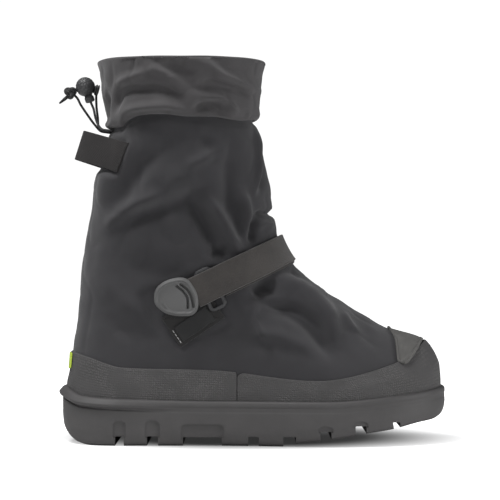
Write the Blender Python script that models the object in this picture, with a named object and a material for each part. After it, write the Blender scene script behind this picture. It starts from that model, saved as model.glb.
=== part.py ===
"""Winter overshoe for the right foot: a cup sole, a hollow fabric upper and what is sewn on them.

The tables are in millimetres in the shoe's own frame: x runs forward from the back wall of the
sole, y towards the inner side of the foot, z up from the floor. Points become metres, with the
origin under the middle of the heel lug, when a mesh is made.
"""
import math
from bisect import bisect_right
from collections import namedtuple

import bmesh
import bpy
from mathutils import Vector

MM = 0.001

# Cutters reach past the shoe to these sizes, mm
PAST_SIDE, PAST_BACK, PAST_TOE, PAST_RAND = 90.0, -20.0, 340.0, 130.0

# Driving sizes, mm
HEEL_LUG_X = 62.3
FABRIC = 2.0
GAP = 0.3
AROUND = 44
TURN_STEP, LEVEL_STEP = 0.35 / AROUND, 0.2
SHARP_ANGLE = math.radians(35)
ROUNDNESS = 2.15
TOE_LEAN = 7.0
LEAN_FROM_X = 110.0
LEAN_LENGTH = 200.0
ARCH_REACH = 48.0
INSOLE_THICKNESS = 3.0
INSOLE_MARGIN = 0.5
RAND_THICKNESS = 1.6
PATCH_THICKNESS = 1.1
HEEL_PATCH_THICKNESS = 0.7
CUFF_THICKNESS = 1.3
HEM_BELOW_CINCH = 0.14
WEBBING = 1.8
WEBBING_WIDTH = 25.0

# Stations along the foot where the half widths of a ring are given, mm
HEEL_X, WAIST_X, BALL_X = 45.0, 125.0, 215.0

# Shares of a ring's length where its drop below the straight line from back to front is given
DROP_SHARES = (0.0, 0.05, 0.15, 0.4, 0.7, 0.9, 1.0)

# Rings of the upper's outer face from the bed of the sole to the collar, mm: the ends of the ring in
# the side view, half widths at heel, waist and ball, the lengths over which its ends are rounded,
# the hollow of the inner waist, the drops at the shares above and the facets up to the next ring
Ring = namedtuple(
    "Ring",
    "name back_x back_z front_x front_z heel waist ball round_back round_front arch "
    "drop5 drop15 drop40 drop70 drop90 steps",
)
RINGS = (
    Ring("bed", 5.6, 29.3, 309.6, 34.3, 39.5, 37.5, 53.0, 44, 80, 6, 1.0, 2.7, 5.5, 8.3, 3.8, 1),
    Ring("rim", 5.2, 46.0, 310.3, 45.5, 41.0, 40.0, 55.5, 44, 80, 5, 6.6, 8.6, 10.4, 9.8, 4.3, 1),
    Ring("counter", 7.8, 60.0, 309.4, 61.0, 41.0, 41.0, 56.0, 45, 80, 4, 5.1, 10, 12.4, 16.4, 7.8, 2),
    Ring("rand top", 9.0, 74.6, 297.5, 82.5, 40.0, 41.0, 55.0, 46, 84, 3, 4.3, 13.3, 17.3, 27.5, 16.7, 2),
    Ring("toe cap", 12.5, 103.0, 268.0, 93.0, 39.0, 41.0, 55.0, 50, 110, 2, 5, 13, 14.4, 16, 8, 2),
    Ring("vamp", 13.7, 118.0, 242.4, 107.3, 38.0, 41.5, 51.0, 52, 112, 1, 1.5, 4, 5, 4, 1, 2),
    Ring("instep", 14.8, 134.0, 217.0, 122.0, 38.5, 42.0, 47.0, 54, 110, 0, 0, 1, 1, 1, 0, 2),
    Ring("throat", 17.0, 150.0, 199.6, 136.8, 39.5, 43.0, 45.0, 57, 105, 0, 0, 0, 0, 0, 0, 1),
    Ring("ankle", 19.9, 168.0, 187.0, 149.5, 41.5, 44.5, 44.5, 60, 100, 0, 0, 0, 0, 0, 0, 2),
    Ring("strap", 23.0, 187.0, 175.5, 175.0, 44.5, 47.0, 47.0, 62, 88, 0, 0, 0, 0, 0, 0, 1),
    Ring("shaft low", 27.2, 208.0, 171.4, 206.0, 48.0, 50.0, 50.0, 63, 79, 0, 0, 0, 0, 0, 0, 1),
    Ring("shaft high", 32.8, 232.0, 165.6, 236.0, 51.0, 52.0, 52.0, 60, 72, 0, 0, 0, 0, 0, 0, 2),
    Ring("cinch", 38.3, 258.5, 158.9, 264.5, 48.5, 50.0, 50.0, 54, 66, 0, 0, 0, 0, 0, 0, 2),
    Ring("cuff", 34.5, 284.0, 160.8, 286.0, 52.5, 54.0, 54.0, 57, 69, 0, 0, 0, 0, 0, 0, 1),
    Ring("top", 30.3, 311.5, 165.6, 311.5, 55.5, 57.0, 57.0, 60, 75, 0, 0, 0, 0, 0, 0, 0),
)
LEVEL = {ring.name: index for index, ring in enumerate(RINGS)}

# Height of the tread's face above the floor along the sole: rounded heel, flat stand, toe spring, mm
TREAD_LINE = (
    (0.0, 15.0), (2.0, 12.5), (8.0, 6.4), (16.0, 1.9), (27.0, 0.0), (60.0, 0.0), (181.0, 0.0),
    (192.0, 2.6), (221.0, 6.2), (241.0, 9.8), (267.0, 13.4), (290.0, 18.2), (303.0, 20.0),
    (310.0, 22.6), (316.0, 29.0),
)

# Outside of the sole from the rim's crest down to the tread, mm: growth past the rim ring, what the
# heel adds to it, drop below the rim, or where that is None the share of the height over the tread
SoleRow = namedtuple("SoleRow", "name grow heel_extra below_rim share")
SOLE_ROWS = (
    SoleRow("crest", 2.3, 0.0, 0.0, None),
    SoleRow("bead", 4.5, 0.6, 1.2, None),
    SoleRow("bead foot", 4.9, 1.9, 3.2, None),
    SoleRow("ledge tip", 4.5, 3.2, 5.0, None),
    SoleRow("ledge under", 4.5, 2.3, 6.8, None),
    SoleRow("groove", 4.5, -1.1, 8.2, None),
    SoleRow("wall top", 4.7, 0.1, 9.6, None),
    SoleRow("wall", 4.8, 0.0, None, 0.36),
    SoleRow("wall low", 4.5, 0.0, None, 0.2),
    SoleRow("edge", 3.8, 0.0, None, 0.06),
    SoleRow("tread", 1.4, 0.0, None, 0.0),
)
LEDGE_FROM_X, LEDGE_TO_X = 20.0, 106.0
RIM_INSIDE_SHARE = 0.93

# Gaps between the lugs, mm: where each starts and ends along the sole, its depth and the top of the
# shallow recess that the side wall has above it, zero where it has none
Notch = namedtuple("Notch", "from_x to_x depth recess_top")
NOTCHES = (
    Notch(46.0, 53.1, 7.6, 20.0),
    Notch(71.6, 80.6, 7.6, 20.0),
    Notch(100.4, 131.8, 7.0, 17.0),
    Notch(152.9, 161.3, 7.6, 0.0),
    Notch(180.9, 191.1, 7.0, 0.0),
    Notch(210.3, 219.1, 7.0, 16.5),
    Notch(238.3, 247.1, 6.6, 20.5),
    Notch(268.5, 274.6, 5.0, 0.0),
)
RECESS_DEPTH = 1.0
RECESS_MARGIN = 1.5
RECESS_OVERLAP = 1.0
RECESS_RADIUS = 4.0

# Overlays in the side view, mm: corners as x, z and corner radius
TOE_PATCH = (
    (256.0, 110.0, 0.0), (269.5, 86.0, 18.0), (271.0, 64.5, 5.0), (279.5, 64.5, 5.0),
    (291.5, 81.0, 14.0), (300.0, 88.0, 0.0), (304.0, 110.0, 0.0),
)
HEEL_PATCH_HALF_WIDTH = 15.0
HEEL_PATCH_FROM_Z, HEEL_PATCH_TO_Z = 60.0, 73.0
RAND_SEAM_X = 144.0
RAND_FOOT = 0.05

# The strap runs in a slanted plane from the grip on the outer side over the front of the ankle
STRAP_START = (108.8, 122.3)
STRAP_ANGLE = math.radians(25.5)
STRAP_REACH = 110.0
STRAP_OUT_SIDE, STRAP_OUT_FRONT = 4.1, 2.5
STRAP_EASE_FROM_X, STRAP_EASE_TO_X = 140.0, 162.0
STRAP_LOWER_SHIFT = -1.2
STRAP_LOWER_START = 22.4

# Moulded grip in the strap's own axes, mm: along, across and corner radius
GRIP_OUTLINE = (
    (-33.0, 10.8, 7.0), (-2.0, 16.5, 5.0), (4.2, 0.0, 16.0), (-1.5, -15.5, 5.0), (-13.0, -14.0, 12.0),
    (-33.0, -1.0, 7.0),
)
GRIP_OUT, GRIP_THICKNESS = 4.1, 3.0

# Flat ring under the strap, in the strap's own axes, mm
RING_CENTRE = (13.9, -1.6)
RING_SIZE = (15.0, 38.5)
RING_BAR = 3.0
RING_OUT, RING_THICKNESS = 1.8, 2.0

# Sewn patch under the grip and the label on it, mm: middle of the lower left edge, length, width
ANCHOR_EDGE = (90.9, 90.4)
ANCHOR_ANGLE = math.radians(34.0)
ANCHOR_SIZE = (43.0, 28.5)
ANCHOR_THICKNESS = 1.2
LABEL_SIZE = (31.0, 13.5)
LABEL_SHIFT = (4.5, -4.5)
LABEL_THICKNESS = 0.6

# Pull loop of webbing at the back, mm: middle of its sewn end, its slant and its free end
LOOP_START = (48.4, 232.5)
LOOP_SLANT = math.radians(17.5)
LOOP_TIP_X = 15.2
LOOP_LEAVES_TURN = 0.098
LOOP_SEWN_TURN = 0.148
LOOP_NOSE = 9.0
LOOP_RUN = 13.0
LOOP_OUT = 0.45
LOOP_SEWN_STEPS, LOOP_FREE_STEPS, LOOP_ACROSS_STEPS = 3, 6, 2

# Cord lock and its cord behind the collar, mm
LOCK_CENTRE = (18.8, -2.0, 291.3)
LOCK_RADIUS = 8.0
LOCK_FOOT = ((19.5, -2.0, 285.5), (22.0, -2.0, 278.2))
LOCK_FOOT_RADIUS = 3.9
BUTTON_FROM, BUTTON_TO = (26.85, -2.0, 289.0), (29.9, -2.0, 288.15)
BUTTON_RADIUS = 3.7
KNOT_CENTRE = (6.5, -2.0, 286.5)
KNOT_RADIUS = 4.8
CORD_RADIUS = 1.0
TAIL_RADIUS = 1.55
CORD_TAIL = ((3.3, -2.0, 282.5), (0.6, -2.2, 280.2), (-2.6, -2.6, 277.5))
CORD_LEFT = (
    (38.0, -17.5, 254.5), (34.6, -16.2, 255.0), (30.8, -12.0, 258.2), (27.6, -8.0, 265.5),
    (25.8, -5.4, 273.0), (24.3, -3.9, 276.3),
)
CORD_RIGHT = (
    (36.0, -3.4, 254.0), (32.4, -3.2, 254.4), (29.7, -2.6, 257.6), (29.0, -1.9, 266.0),
    (27.9, -1.6, 275.5), (27.6, -1.7, 282.6),
)
CORD_STRAND = (
    (36.0, 1.0, 254.0), (32.0, 1.2, 254.6), (27.0, 1.0, 259.4), (19.5, 0.2, 269.6),
    (14.4, -0.8, 277.4), (12.6, -1.4, 282.6),
)
CORD_POINTS = 10

# Colours are linear RGB, then roughness
MATERIALS = {
    "rubber": ((0.075, 0.073, 0.075), 0.62),
    "board": ((0.09, 0.088, 0.085), 0.9),
    "nylon": ((0.042, 0.042, 0.045), 0.8),
    "cuff nylon": ((0.07, 0.068, 0.07), 0.8),
    "rand": ((0.07, 0.067, 0.068), 0.72),
    "patch": ((0.11, 0.108, 0.105), 0.7),
    "lime": ((0.42, 0.58, 0.06), 0.6),
    "webbing": ((0.05, 0.046, 0.044), 0.85),
    "pile": ((0.053, 0.047, 0.043), 0.95),
    "plastic": ((0.11, 0.11, 0.11), 0.5),
    "hard plastic": ((0.03, 0.03, 0.032), 0.45),
    "label": ((0.02, 0.02, 0.02), 0.7),
    "cord": ((0.03, 0.03, 0.03), 0.8),
}


def world(x, y, z):
    """A point of the tables as metres in the part's frame."""
    return Vector(((x - HEEL_LUG_X) * MM, y * MM, z * MM))


def curve_value(keys, values, at):
    """Smooth curve through the values at the keys, level past both ends."""
    if at <= keys[0]:
        return values[0]
    if at >= keys[-1]:
        return values[-1]
    right = bisect_right(keys, at)
    left = right - 1
    span = keys[right] - keys[left]
    rise = values[right] - values[left]

    def slope(k):
        if k == 0:
            return (values[1] - values[0]) / (keys[1] - keys[0])
        if k == len(keys) - 1:
            return (values[-1] - values[-2]) / (keys[-1] - keys[-2])
        before = (values[k] - values[k - 1]) / (keys[k] - keys[k - 1])
        after = (values[k + 1] - values[k]) / (keys[k + 1] - keys[k])
        if before * after <= 0:
            return 0.0
        return 2 * before * after / (before + after)

    u = (at - keys[left]) / span
    bend_left = slope(left) * span - rise
    bend_right = rise - slope(right) * span
    return values[left] + rise * u + u * (1 - u) * ((1 - u) * bend_left + u * bend_right)


def smooth_share(low, high, value):
    """Share from 0 to 1 with level ends as the value goes from low to high."""
    u = min(1.0, max(0.0, (value - low) / (high - low)))
    return u * u * (3 - 2 * u)


def ring_at(level):
    """Columns of the ring at any level, read from smooth curves through the table."""
    keys = list(range(len(RINGS)))
    columns = Ring._fields[1:-1]
    values = [curve_value(keys, [getattr(r, c) for r in RINGS], level) for c in columns]
    return Ring("", *values, 0)


def end_share(distance, length):
    """Width share near the end of a ring that is rounded over this length."""
    left = max(0.0, 1 - distance / length)
    return (1 - left ** ROUNDNESS) ** (1 / ROUNDNESS)


def middle_y(x):
    """Line of the foot: the toe leans to the inner side."""
    along = max(0.0, (x - LEAN_FROM_X) / LEAN_LENGTH)
    return TOE_LEAN * along * along


def ring_point(ring, turn):
    """Point of a ring: turn 0 at the heel, a quarter on the outer side, a half at the toe."""
    angle = 2 * math.pi * turn
    share = (1 - math.cos(angle)) / 2
    inner = 1 if math.sin(angle) < 0 else -1
    length = math.hypot(ring.front_x - ring.back_x, ring.front_z - ring.back_z)
    x = ring.back_x + share * (ring.front_x - ring.back_x)
    drops = (0.0, ring.drop5, ring.drop15, ring.drop40, ring.drop70, ring.drop90, 0.0)
    z = ring.back_z + share * (ring.front_z - ring.back_z) - curve_value(DROP_SHARES, drops, share)
    half = curve_value((HEEL_X, WAIST_X, BALL_X), (ring.heel, ring.waist, ring.ball), x)
    if inner == 1:
        half -= ring.arch * math.exp(-(((x - WAIST_X) / ARCH_REACH) ** 2))
    half *= end_share(share * length, ring.round_back) * end_share((1 - share) * length, ring.round_front)
    return Vector((x, middle_y(x) + inner * half, z))


def surface_normal(level, turn):
    """Outward normal of the upper by differences along the ring and across the rings."""
    ring = ring_at(level)
    along = ring_point(ring, turn + TURN_STEP) - ring_point(ring, turn - TURN_STEP)
    above = ring_point(ring_at(min(level + LEVEL_STEP, len(RINGS) - 1)), turn)
    below = ring_point(ring_at(max(level - LEVEL_STEP, 0)), turn)
    return along.cross(above - below).normalized()


def make_lattice():
    """Levels, points and normals where the upper's outer face is sampled."""
    levels = []
    for index, ring in enumerate(RINGS):
        levels += [index + step / ring.steps for step in range(ring.steps)]
    levels.append(len(RINGS) - 1)
    turns = [i / AROUND for i in range(AROUND)]
    points = [[ring_point(ring_at(level), turn) for turn in turns] for level in levels]
    normals = [[surface_normal(level, turn) for turn in turns] for level in levels]
    return levels, points, normals


LEVELS, SKIN_POINTS, SKIN_NORMALS = make_lattice()


def skin(level, index, out):
    """Point of the faceted outer face at a level, moved out along the normal."""
    row = min(bisect_right(LEVELS, level) - 1, len(LEVELS) - 2)
    share = (level - LEVELS[row]) / (LEVELS[row + 1] - LEVELS[row])
    i = index % AROUND
    point = SKIN_POINTS[row][i].lerp(SKIN_POINTS[row + 1][i], share)
    normal = SKIN_NORMALS[row][i].lerp(SKIN_NORMALS[row + 1][i], share)
    return point + normal * out


def part_object(name, mesh, material, collection="overshoe"):
    """Named object of a mesh or curve, with its own material, in a collection."""
    body = bpy.data.objects.new(name, mesh)
    if material:
        colour, roughness = MATERIALS[material]
        finish = bpy.data.materials.new(name)
        finish.use_nodes = True
        shader = finish.node_tree.nodes["Principled BSDF"]
        shader.inputs["Base Color"].default_value = (*colour, 1.0)
        shader.inputs["Roughness"].default_value = roughness
        shader.inputs["Metallic"].default_value = 0.0
        mesh.materials.append(finish)
    bpy.data.collections[collection].objects.link(body)
    return body


def cutter_object(name, mesh):
    """Object in the cutters' collection, which isn't rendered."""
    body = part_object(name, mesh, None, "cutters")
    body.hide_render = True
    body.display_type = "WIRE"
    return body


def mesh_from(name, points, faces):
    """Mesh from points in millimetres, with its faces turned outward."""
    mesh = bpy.data.meshes.new(name)
    mesh.from_pydata([world(*p) for p in points], [], faces)
    bm = bmesh.new()
    bm.from_mesh(mesh)
    bmesh.ops.recalc_face_normals(bm, faces=bm.faces)
    bm.to_mesh(mesh)
    bm.free()
    mesh.shade_smooth()
    mesh.set_sharp_from_angle(angle=SHARP_ANGLE)
    return mesh


def band_faces(lower, upper, count, closed=True):
    """Triangles between two rows of vertex numbers."""
    faces = []
    for i in range(count if closed else count - 1):
        j = (i + 1) % count
        faces.append((lower + i, lower + j, upper + j))
        faces.append((lower + i, upper + j, upper + i))
    return faces


def ladder_faces(start, count):
    """Lid of a ring, in strips from its outer to its inner side."""
    half = count // 2
    faces = [(start, start + 1, start + count - 1)]
    for i in range(1, half - 1):
        faces.append((start + i, start + i + 1, start + count - i - 1, start + count - i))
    faces.append((start + half - 1, start + half, start + half + 1))
    return faces


def wall_mesh(name, from_level, to_level, inner, outer):
    """Closed wall around the foot between two offsets of the upper's outer face.

    The offsets are functions of the level and of the point on the face.
    """
    levels = [from_level] + [v for v in LEVELS if from_level + 0.02 < v < to_level - 0.02] + [to_level]
    points = []
    for offset in (outer, inner):
        for level in levels:
            for i in range(AROUND):
                points.append(skin(level, i, offset(level, skin(level, i, 0.0))))
    faces = []
    rows = len(levels)
    for row in range(rows - 1):
        faces += band_faces(row * AROUND, (row + 1) * AROUND, AROUND)
        faces += band_faces((rows + row) * AROUND, (rows + row + 1) * AROUND, AROUND)
    faces += band_faces(0, rows * AROUND, AROUND)
    faces += band_faces((rows - 1) * AROUND, (2 * rows - 1) * AROUND, AROUND)
    return mesh_from(name, points, faces)


def layer_mesh(name, from_level, to_level, out, thickness):
    """Wall of even thickness at a fixed distance from the upper."""
    return wall_mesh(name, from_level, to_level, lambda v, p: out, lambda v, p: out + thickness)


def rounded_outline(corners, arc_steps=4):
    """Outline from corners with radii, each round corner as an arc."""
    outline = []
    count = len(corners)
    for i, (x, z, radius) in enumerate(corners):
        here = Vector((x, z))
        if radius == 0:
            outline.append(here)
            continue
        back = (Vector(corners[i - 1][:2]) - here).normalized()
        ahead = (Vector(corners[(i + 1) % count][:2]) - here).normalized()
        half_angle = back.angle(ahead) / 2
        cut = radius / math.tan(half_angle)
        centre = here + (back + ahead).normalized() * (radius / math.sin(half_angle))
        start = here + back * cut - centre
        sweep = start.angle_signed(here + ahead * cut - centre)
        for step in range(arc_steps + 1):
            angle = -sweep * step / arc_steps
            turned = Vector((
                start.x * math.cos(angle) - start.y * math.sin(angle),
                start.x * math.sin(angle) + start.y * math.cos(angle),
            ))
            outline.append(centre + turned)
    return outline


def prism(name, outline, from_y, to_y):
    """Cutter with this outline in the side view, between two depths."""
    count = len(outline)
    points = [(p[0], from_y, p[1]) for p in outline] + [(p[0], to_y, p[1]) for p in outline]
    faces = [tuple(range(count)), tuple(range(2 * count - 1, count - 1, -1))]
    for i in range(count):
        j = (i + 1) % count
        faces.append((i, j, count + j, count + i))
    return cutter_object(name, mesh_from(name, points, faces))


def boolean(body, cutter, operation):
    """Boolean modifier that stays on the body."""
    modifier = body.modifiers.new(cutter.name, "BOOLEAN")
    modifier.operation = operation
    modifier.solver = "EXACT"
    modifier.object = cutter


def slanted(start, angle, along, across):
    """Side view point from a slanted frame's own lengths."""
    return (
        start[0] + along * math.cos(angle) - across * math.sin(angle),
        start[1] + along * math.sin(angle) + across * math.cos(angle),
    )


def slanted_box(start, angle, low, high, radius=0.0):
    """Corners of a box in a slanted frame, from its low to its high corner."""
    corners = ((low[0], low[1]), (high[0], low[1]), (high[0], high[1]), (low[0], high[1]))
    return [(*slanted(start, angle, a, b), radius) for a, b in corners]


def tread_z(x):
    return curve_value([p[0] for p in TREAD_LINE], [p[1] for p in TREAD_LINE], x)


def rim_outline(index, grow):
    """Point of the rim ring moved out in plan, with the rim's height."""
    here = SKIN_POINTS[LEVEL["rim"]][index % AROUND]
    ahead = SKIN_POINTS[LEVEL["rim"]][(index + 1) % AROUND]
    behind = SKIN_POINTS[LEVEL["rim"]][(index - 1) % AROUND]
    along = Vector((ahead.x - behind.x, ahead.y - behind.y)).normalized()
    return Vector((here.x + along.y * grow, here.y - along.x * grow, here.z))


def sole_row(row, shrink=0.0):
    """Ring of points of the sole's outside, shrunk in plan for a core."""
    points = []
    for i in range(AROUND):
        rim = rim_outline(i, 0.0)
        extra = row.heel_extra * (1 - smooth_share(LEDGE_FROM_X, LEDGE_TO_X, rim.x))
        point = rim_outline(i, row.grow + extra - shrink)
        tread = tread_z(point.x)
        if row.share is None:
            point.z = rim.z - row.below_rim
        else:
            point.z = tread + row.share * (rim.z - tread)
        points.append(point)
    return points


def rings_mesh(name, rings):
    """Closed mesh through rings of points, with a lid on the first and the last."""
    count = len(rings[0])
    points = [p for ring in rings for p in ring]
    faces = ladder_faces(0, count) + ladder_faces((len(rings) - 1) * count, count)
    for row in range(len(rings) - 1):
        faces += band_faces(row * count, (row + 1) * count, count)
    return mesh_from(name, points, faces)


def make_outsole():
    """Cup sole: bed and inside of the rim follow the upper, the outside follows the sole rows."""
    bed = [skin(0.0, i, GAP) - Vector((0, 0, GAP)) for i in range(AROUND)]
    inside = [skin(RIM_INSIDE_SHARE, i, GAP) for i in range(AROUND)]
    rings = [bed, inside] + [sole_row(row) for row in SOLE_ROWS]
    sole = part_object("outsole", rings_mesh("outsole", rings), "rubber")
    lowest = -5.0
    core_rows = [row for row in SOLE_ROWS if row.share is not None or row.name == "wall top"]
    for number, notch in enumerate(NOTCHES, 1):
        middle = (notch.from_x + notch.to_x) / 2
        top = tread_z(middle) + notch.depth
        corners = [(notch.from_x, lowest), (notch.to_x, lowest), (notch.to_x, top), (notch.from_x, top)]
        boolean(sole, prism("lug_gap_%d" % number, corners, -PAST_SIDE, PAST_SIDE), "DIFFERENCE")
        if notch.recess_top == 0:
            continue
        left, right = notch.from_x - RECESS_MARGIN, notch.to_x + RECESS_MARGIN
        radius = min(RECESS_RADIUS, (right - left) / 2 - 0.1)
        window = rounded_outline((
            (left, top - RECESS_OVERLAP, 0.0), (right, top - RECESS_OVERLAP, 0.0),
            (right, notch.recess_top, radius), (left, notch.recess_top, radius),
        ), 3)
        recess = prism("recess_%d" % number, window, -PAST_SIDE, PAST_SIDE)
        core_name = "recess_core_%d" % number
        core = rings_mesh(core_name, [sole_row(row, RECESS_DEPTH) for row in core_rows])
        boolean(recess, cutter_object(core_name, core), "DIFFERENCE")
        boolean(sole, recess, "DIFFERENCE")
    return sole


def make_insole():
    """Board on the bed, inside the upper."""
    inset = -(FABRIC + INSOLE_MARGIN)
    low = [skin(0.0, i, inset) for i in range(AROUND)]
    high = [p + Vector((0, 0, INSOLE_THICKNESS)) for p in low]
    return part_object("insole", rings_mesh("insole", [low, high]), "board")


def make_upper():
    """Hollow fabric upper, open at the collar and on the bed."""
    mesh = layer_mesh("upper", LEVEL["bed"], LEVEL["top"], -FABRIC, FABRIC)
    return part_object("upper", mesh, "nylon")


def make_collar():
    """Cuff around the top of the shaft, with its hem hanging over the cinch seam."""
    mesh = layer_mesh("collar", LEVEL["cinch"] - HEM_BELOW_CINCH, LEVEL["top"], GAP, CUFF_THICKNESS)
    return part_object("collar", mesh, "cuff nylon")


def make_rands():
    """Rubberised band from the rim to the rand line, split by a seam on both sides."""
    pieces = (("rand_heel", PAST_BACK, RAND_SEAM_X - GAP / 2), ("rand_front", RAND_SEAM_X + GAP / 2, PAST_TOE))
    for name, from_x, to_x in pieces:
        mesh = layer_mesh(name, LEVEL["rim"] + RAND_FOOT, LEVEL["rand top"], GAP, RAND_THICKNESS)
        rand = part_object(name, mesh, "rand")
        window = [(from_x, 0.0), (to_x, 0.0), (to_x, PAST_RAND), (from_x, PAST_RAND)]
        boolean(rand, prism(name + "_length", window, -PAST_SIDE, PAST_SIDE), "INTERSECT")


def make_toe_patch():
    """Saddle over the toe, lying on the rand and then on the vamp."""
    over_rand = 2 * GAP + RAND_THICKNESS

    def inner(level, point):
        return over_rand if level <= LEVEL["rand top"] + 0.01 else GAP

    def outer(level, point):
        return inner(level, point) + PATCH_THICKNESS

    patch = part_object(
        "toe_patch", wall_mesh("toe_patch", LEVEL["rim"] + 0.5, LEVEL["vamp"], inner, outer), "patch"
    )
    outline = rounded_outline(TOE_PATCH)
    boolean(patch, prism("toe_patch_outline", outline, -PAST_SIDE, PAST_SIDE), "INTERSECT")


def make_heel_patch():
    """Small coloured patch on the rand at the back of the heel."""
    out = 2 * GAP + RAND_THICKNESS
    mesh = layer_mesh("heel_patch", LEVEL["rim"] + 0.5, LEVEL["rand top"], out, HEEL_PATCH_THICKNESS)
    patch = part_object("heel_patch", mesh, "lime")
    low, high = HEEL_PATCH_FROM_Z, HEEL_PATCH_TO_Z
    window = [(PAST_BACK, low), (HEEL_X, low), (HEEL_X, high), (PAST_BACK, high)]
    half = HEEL_PATCH_HALF_WIDTH
    boolean(patch, prism("heel_patch_outline", window, -half, half), "INTERSECT")


def strap_out(level, point):
    """Distance of the strap from the upper: it lies over the ring at the side, then comes closer."""
    ease = smooth_share(STRAP_EASE_FROM_X, STRAP_EASE_TO_X, point.x)
    return STRAP_OUT_SIDE + ease * (STRAP_OUT_FRONT - STRAP_OUT_SIDE)


def make_strap():
    """Two layers of webbing over the front of the ankle, with the grip at the outer end."""
    from_level, to_level = LEVEL["toe cap"], LEVEL["shaft low"]
    half = WEBBING_WIDTH / 2
    grip_corners = [(*slanted(STRAP_START, STRAP_ANGLE, a, b), r) for a, b, r in GRIP_OUTLINE]
    grip_outline = rounded_outline(grip_corners)

    strap = part_object(
        "strap",
        wall_mesh("strap", from_level, to_level, strap_out, lambda v, p: strap_out(v, p) + WEBBING),
        "pile",
    )
    window = slanted_box(STRAP_START, STRAP_ANGLE, (0.0, -half), (STRAP_REACH, half))
    boolean(strap, prism("strap_width", rounded_outline(window), -PAST_SIDE, PAST_SIDE), "INTERSECT")
    around_grip = [
        (*slanted(STRAP_START, STRAP_ANGLE, a + GAP * 2, b), r) for a, b, r in GRIP_OUTLINE
    ]
    boolean(strap, prism("grip_room", rounded_outline(around_grip), -PAST_SIDE, 0.0), "DIFFERENCE")

    lower = part_object(
        "strap_lower", layer_mesh("strap_lower", from_level, to_level, GAP, WEBBING), "webbing"
    )
    low = (STRAP_LOWER_START, -half + STRAP_LOWER_SHIFT)
    high = (STRAP_REACH, half + STRAP_LOWER_SHIFT)
    window = slanted_box(STRAP_START, STRAP_ANGLE, low, high)
    boolean(lower, prism("strap_lower_width", rounded_outline(window), -PAST_SIDE, PAST_SIDE), "INTERSECT")

    grip = part_object(
        "strap_grip",
        layer_mesh("strap_grip", from_level, to_level, GRIP_OUT, GRIP_THICKNESS),
        "plastic",
    )
    boolean(grip, prism("grip_outline", grip_outline, -PAST_SIDE, 0.0), "INTERSECT")


def make_strap_ring():
    """Flat rectangular ring that the strap runs over."""
    mesh = layer_mesh("strap_ring", LEVEL["toe cap"], LEVEL["shaft low"], RING_OUT, RING_THICKNESS)
    ring = part_object("strap_ring", mesh, "hard plastic")
    for name, shrink, operation in (("ring_outside", 0.0, "INTERSECT"), ("ring_slot", RING_BAR, "DIFFERENCE")):
        half_along = RING_SIZE[0] / 2 - shrink
        half_across = RING_SIZE[1] / 2 - shrink
        low = (RING_CENTRE[0] - half_along, RING_CENTRE[1] - half_across)
        high = (RING_CENTRE[0] + half_along, RING_CENTRE[1] + half_across)
        window = rounded_outline(slanted_box(STRAP_START, STRAP_ANGLE, low, high, 4.0 - shrink), 3)
        boolean(ring, prism(name, window, -PAST_SIDE, 0.0), operation)


def make_anchor_and_label():
    """Sewn patch behind the grip and the bare label on it."""
    from_level, to_level = LEVEL["rand top"], LEVEL["strap"]
    length, width = ANCHOR_SIZE
    anchor = part_object(
        "strap_anchor", layer_mesh("strap_anchor", from_level, to_level, GAP, ANCHOR_THICKNESS), "webbing"
    )
    window = slanted_box(ANCHOR_EDGE, ANCHOR_ANGLE, (0.0, -width / 2), (length, width / 2))
    boolean(anchor, prism("anchor_outline", rounded_outline(window), -PAST_SIDE, 0.0), "INTERSECT")

    out = 2 * GAP + ANCHOR_THICKNESS
    label = part_object(
        "label", layer_mesh("label", from_level, to_level, out, LABEL_THICKNESS), "label"
    )
    low = (LABEL_SHIFT[0], LABEL_SHIFT[1] - LABEL_SIZE[1] / 2)
    high = (LABEL_SHIFT[0] + LABEL_SIZE[0], LABEL_SHIFT[1] + LABEL_SIZE[1] / 2)
    window = slanted_box(ANCHOR_EDGE, ANCHOR_ANGLE, low, high)
    boolean(label, prism("label_outline", rounded_outline(window), -PAST_SIDE, 0.0), "INTERSECT")


def loop_line_z(x, across):
    """Height of a line along the slanted loop at this x."""
    start = (LOOP_START[0] + across * math.sin(LOOP_SLANT), LOOP_START[1] + across * math.cos(LOOP_SLANT))
    return start[1] - (x - start[0]) * math.tan(LOOP_SLANT)


def shaft_point_on_line(turn, across, out):
    """Where the meridian at this turn meets the loop's slanted line, at a distance from the upper."""
    low, high = LEVEL["strap"], LEVEL["top"]
    for _ in range(40):
        middle = (low + high) / 2
        point = ring_point(ring_at(middle), turn)
        if point.z < loop_line_z(point.x, across):
            low = middle
        else:
            high = middle
    return point + surface_normal(middle, turn) * out


def loop_line(across, out, tip_x):
    """One line along the loop, from its outer sewn end around the tip to the inner one."""
    first, last = LOOP_SEWN_TURN, LOOP_LEAVES_TURN
    turns = [first + (last - first) * i / LOOP_SEWN_STEPS for i in range(LOOP_SEWN_STEPS + 1)]
    half = [shaft_point_on_line(turn, across, out) for turn in turns]
    leave = half[-1]
    heading = (leave - half[-2]).normalized()
    shift = across * math.sin(LOOP_SLANT)
    tip = Vector((tip_x + shift, 0.0, 0.0))
    ahead = leave + heading * LOOP_RUN
    nose = tip + Vector((0.0, -LOOP_NOSE, 0.0))
    for step in range(1, LOOP_FREE_STEPS + 1):
        t = step / LOOP_FREE_STEPS
        point = (
            leave * (1 - t) ** 3 + ahead * (3 * t * (1 - t) ** 2)
            + nose * (3 * t * t * (1 - t)) + tip * t ** 3
        )
        point.z = loop_line_z(point.x, across)
        half.append(point)
    mirrored = [Vector((p.x, -p.y, p.z)) for p in reversed(half[:-1])]
    return half + mirrored


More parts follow.
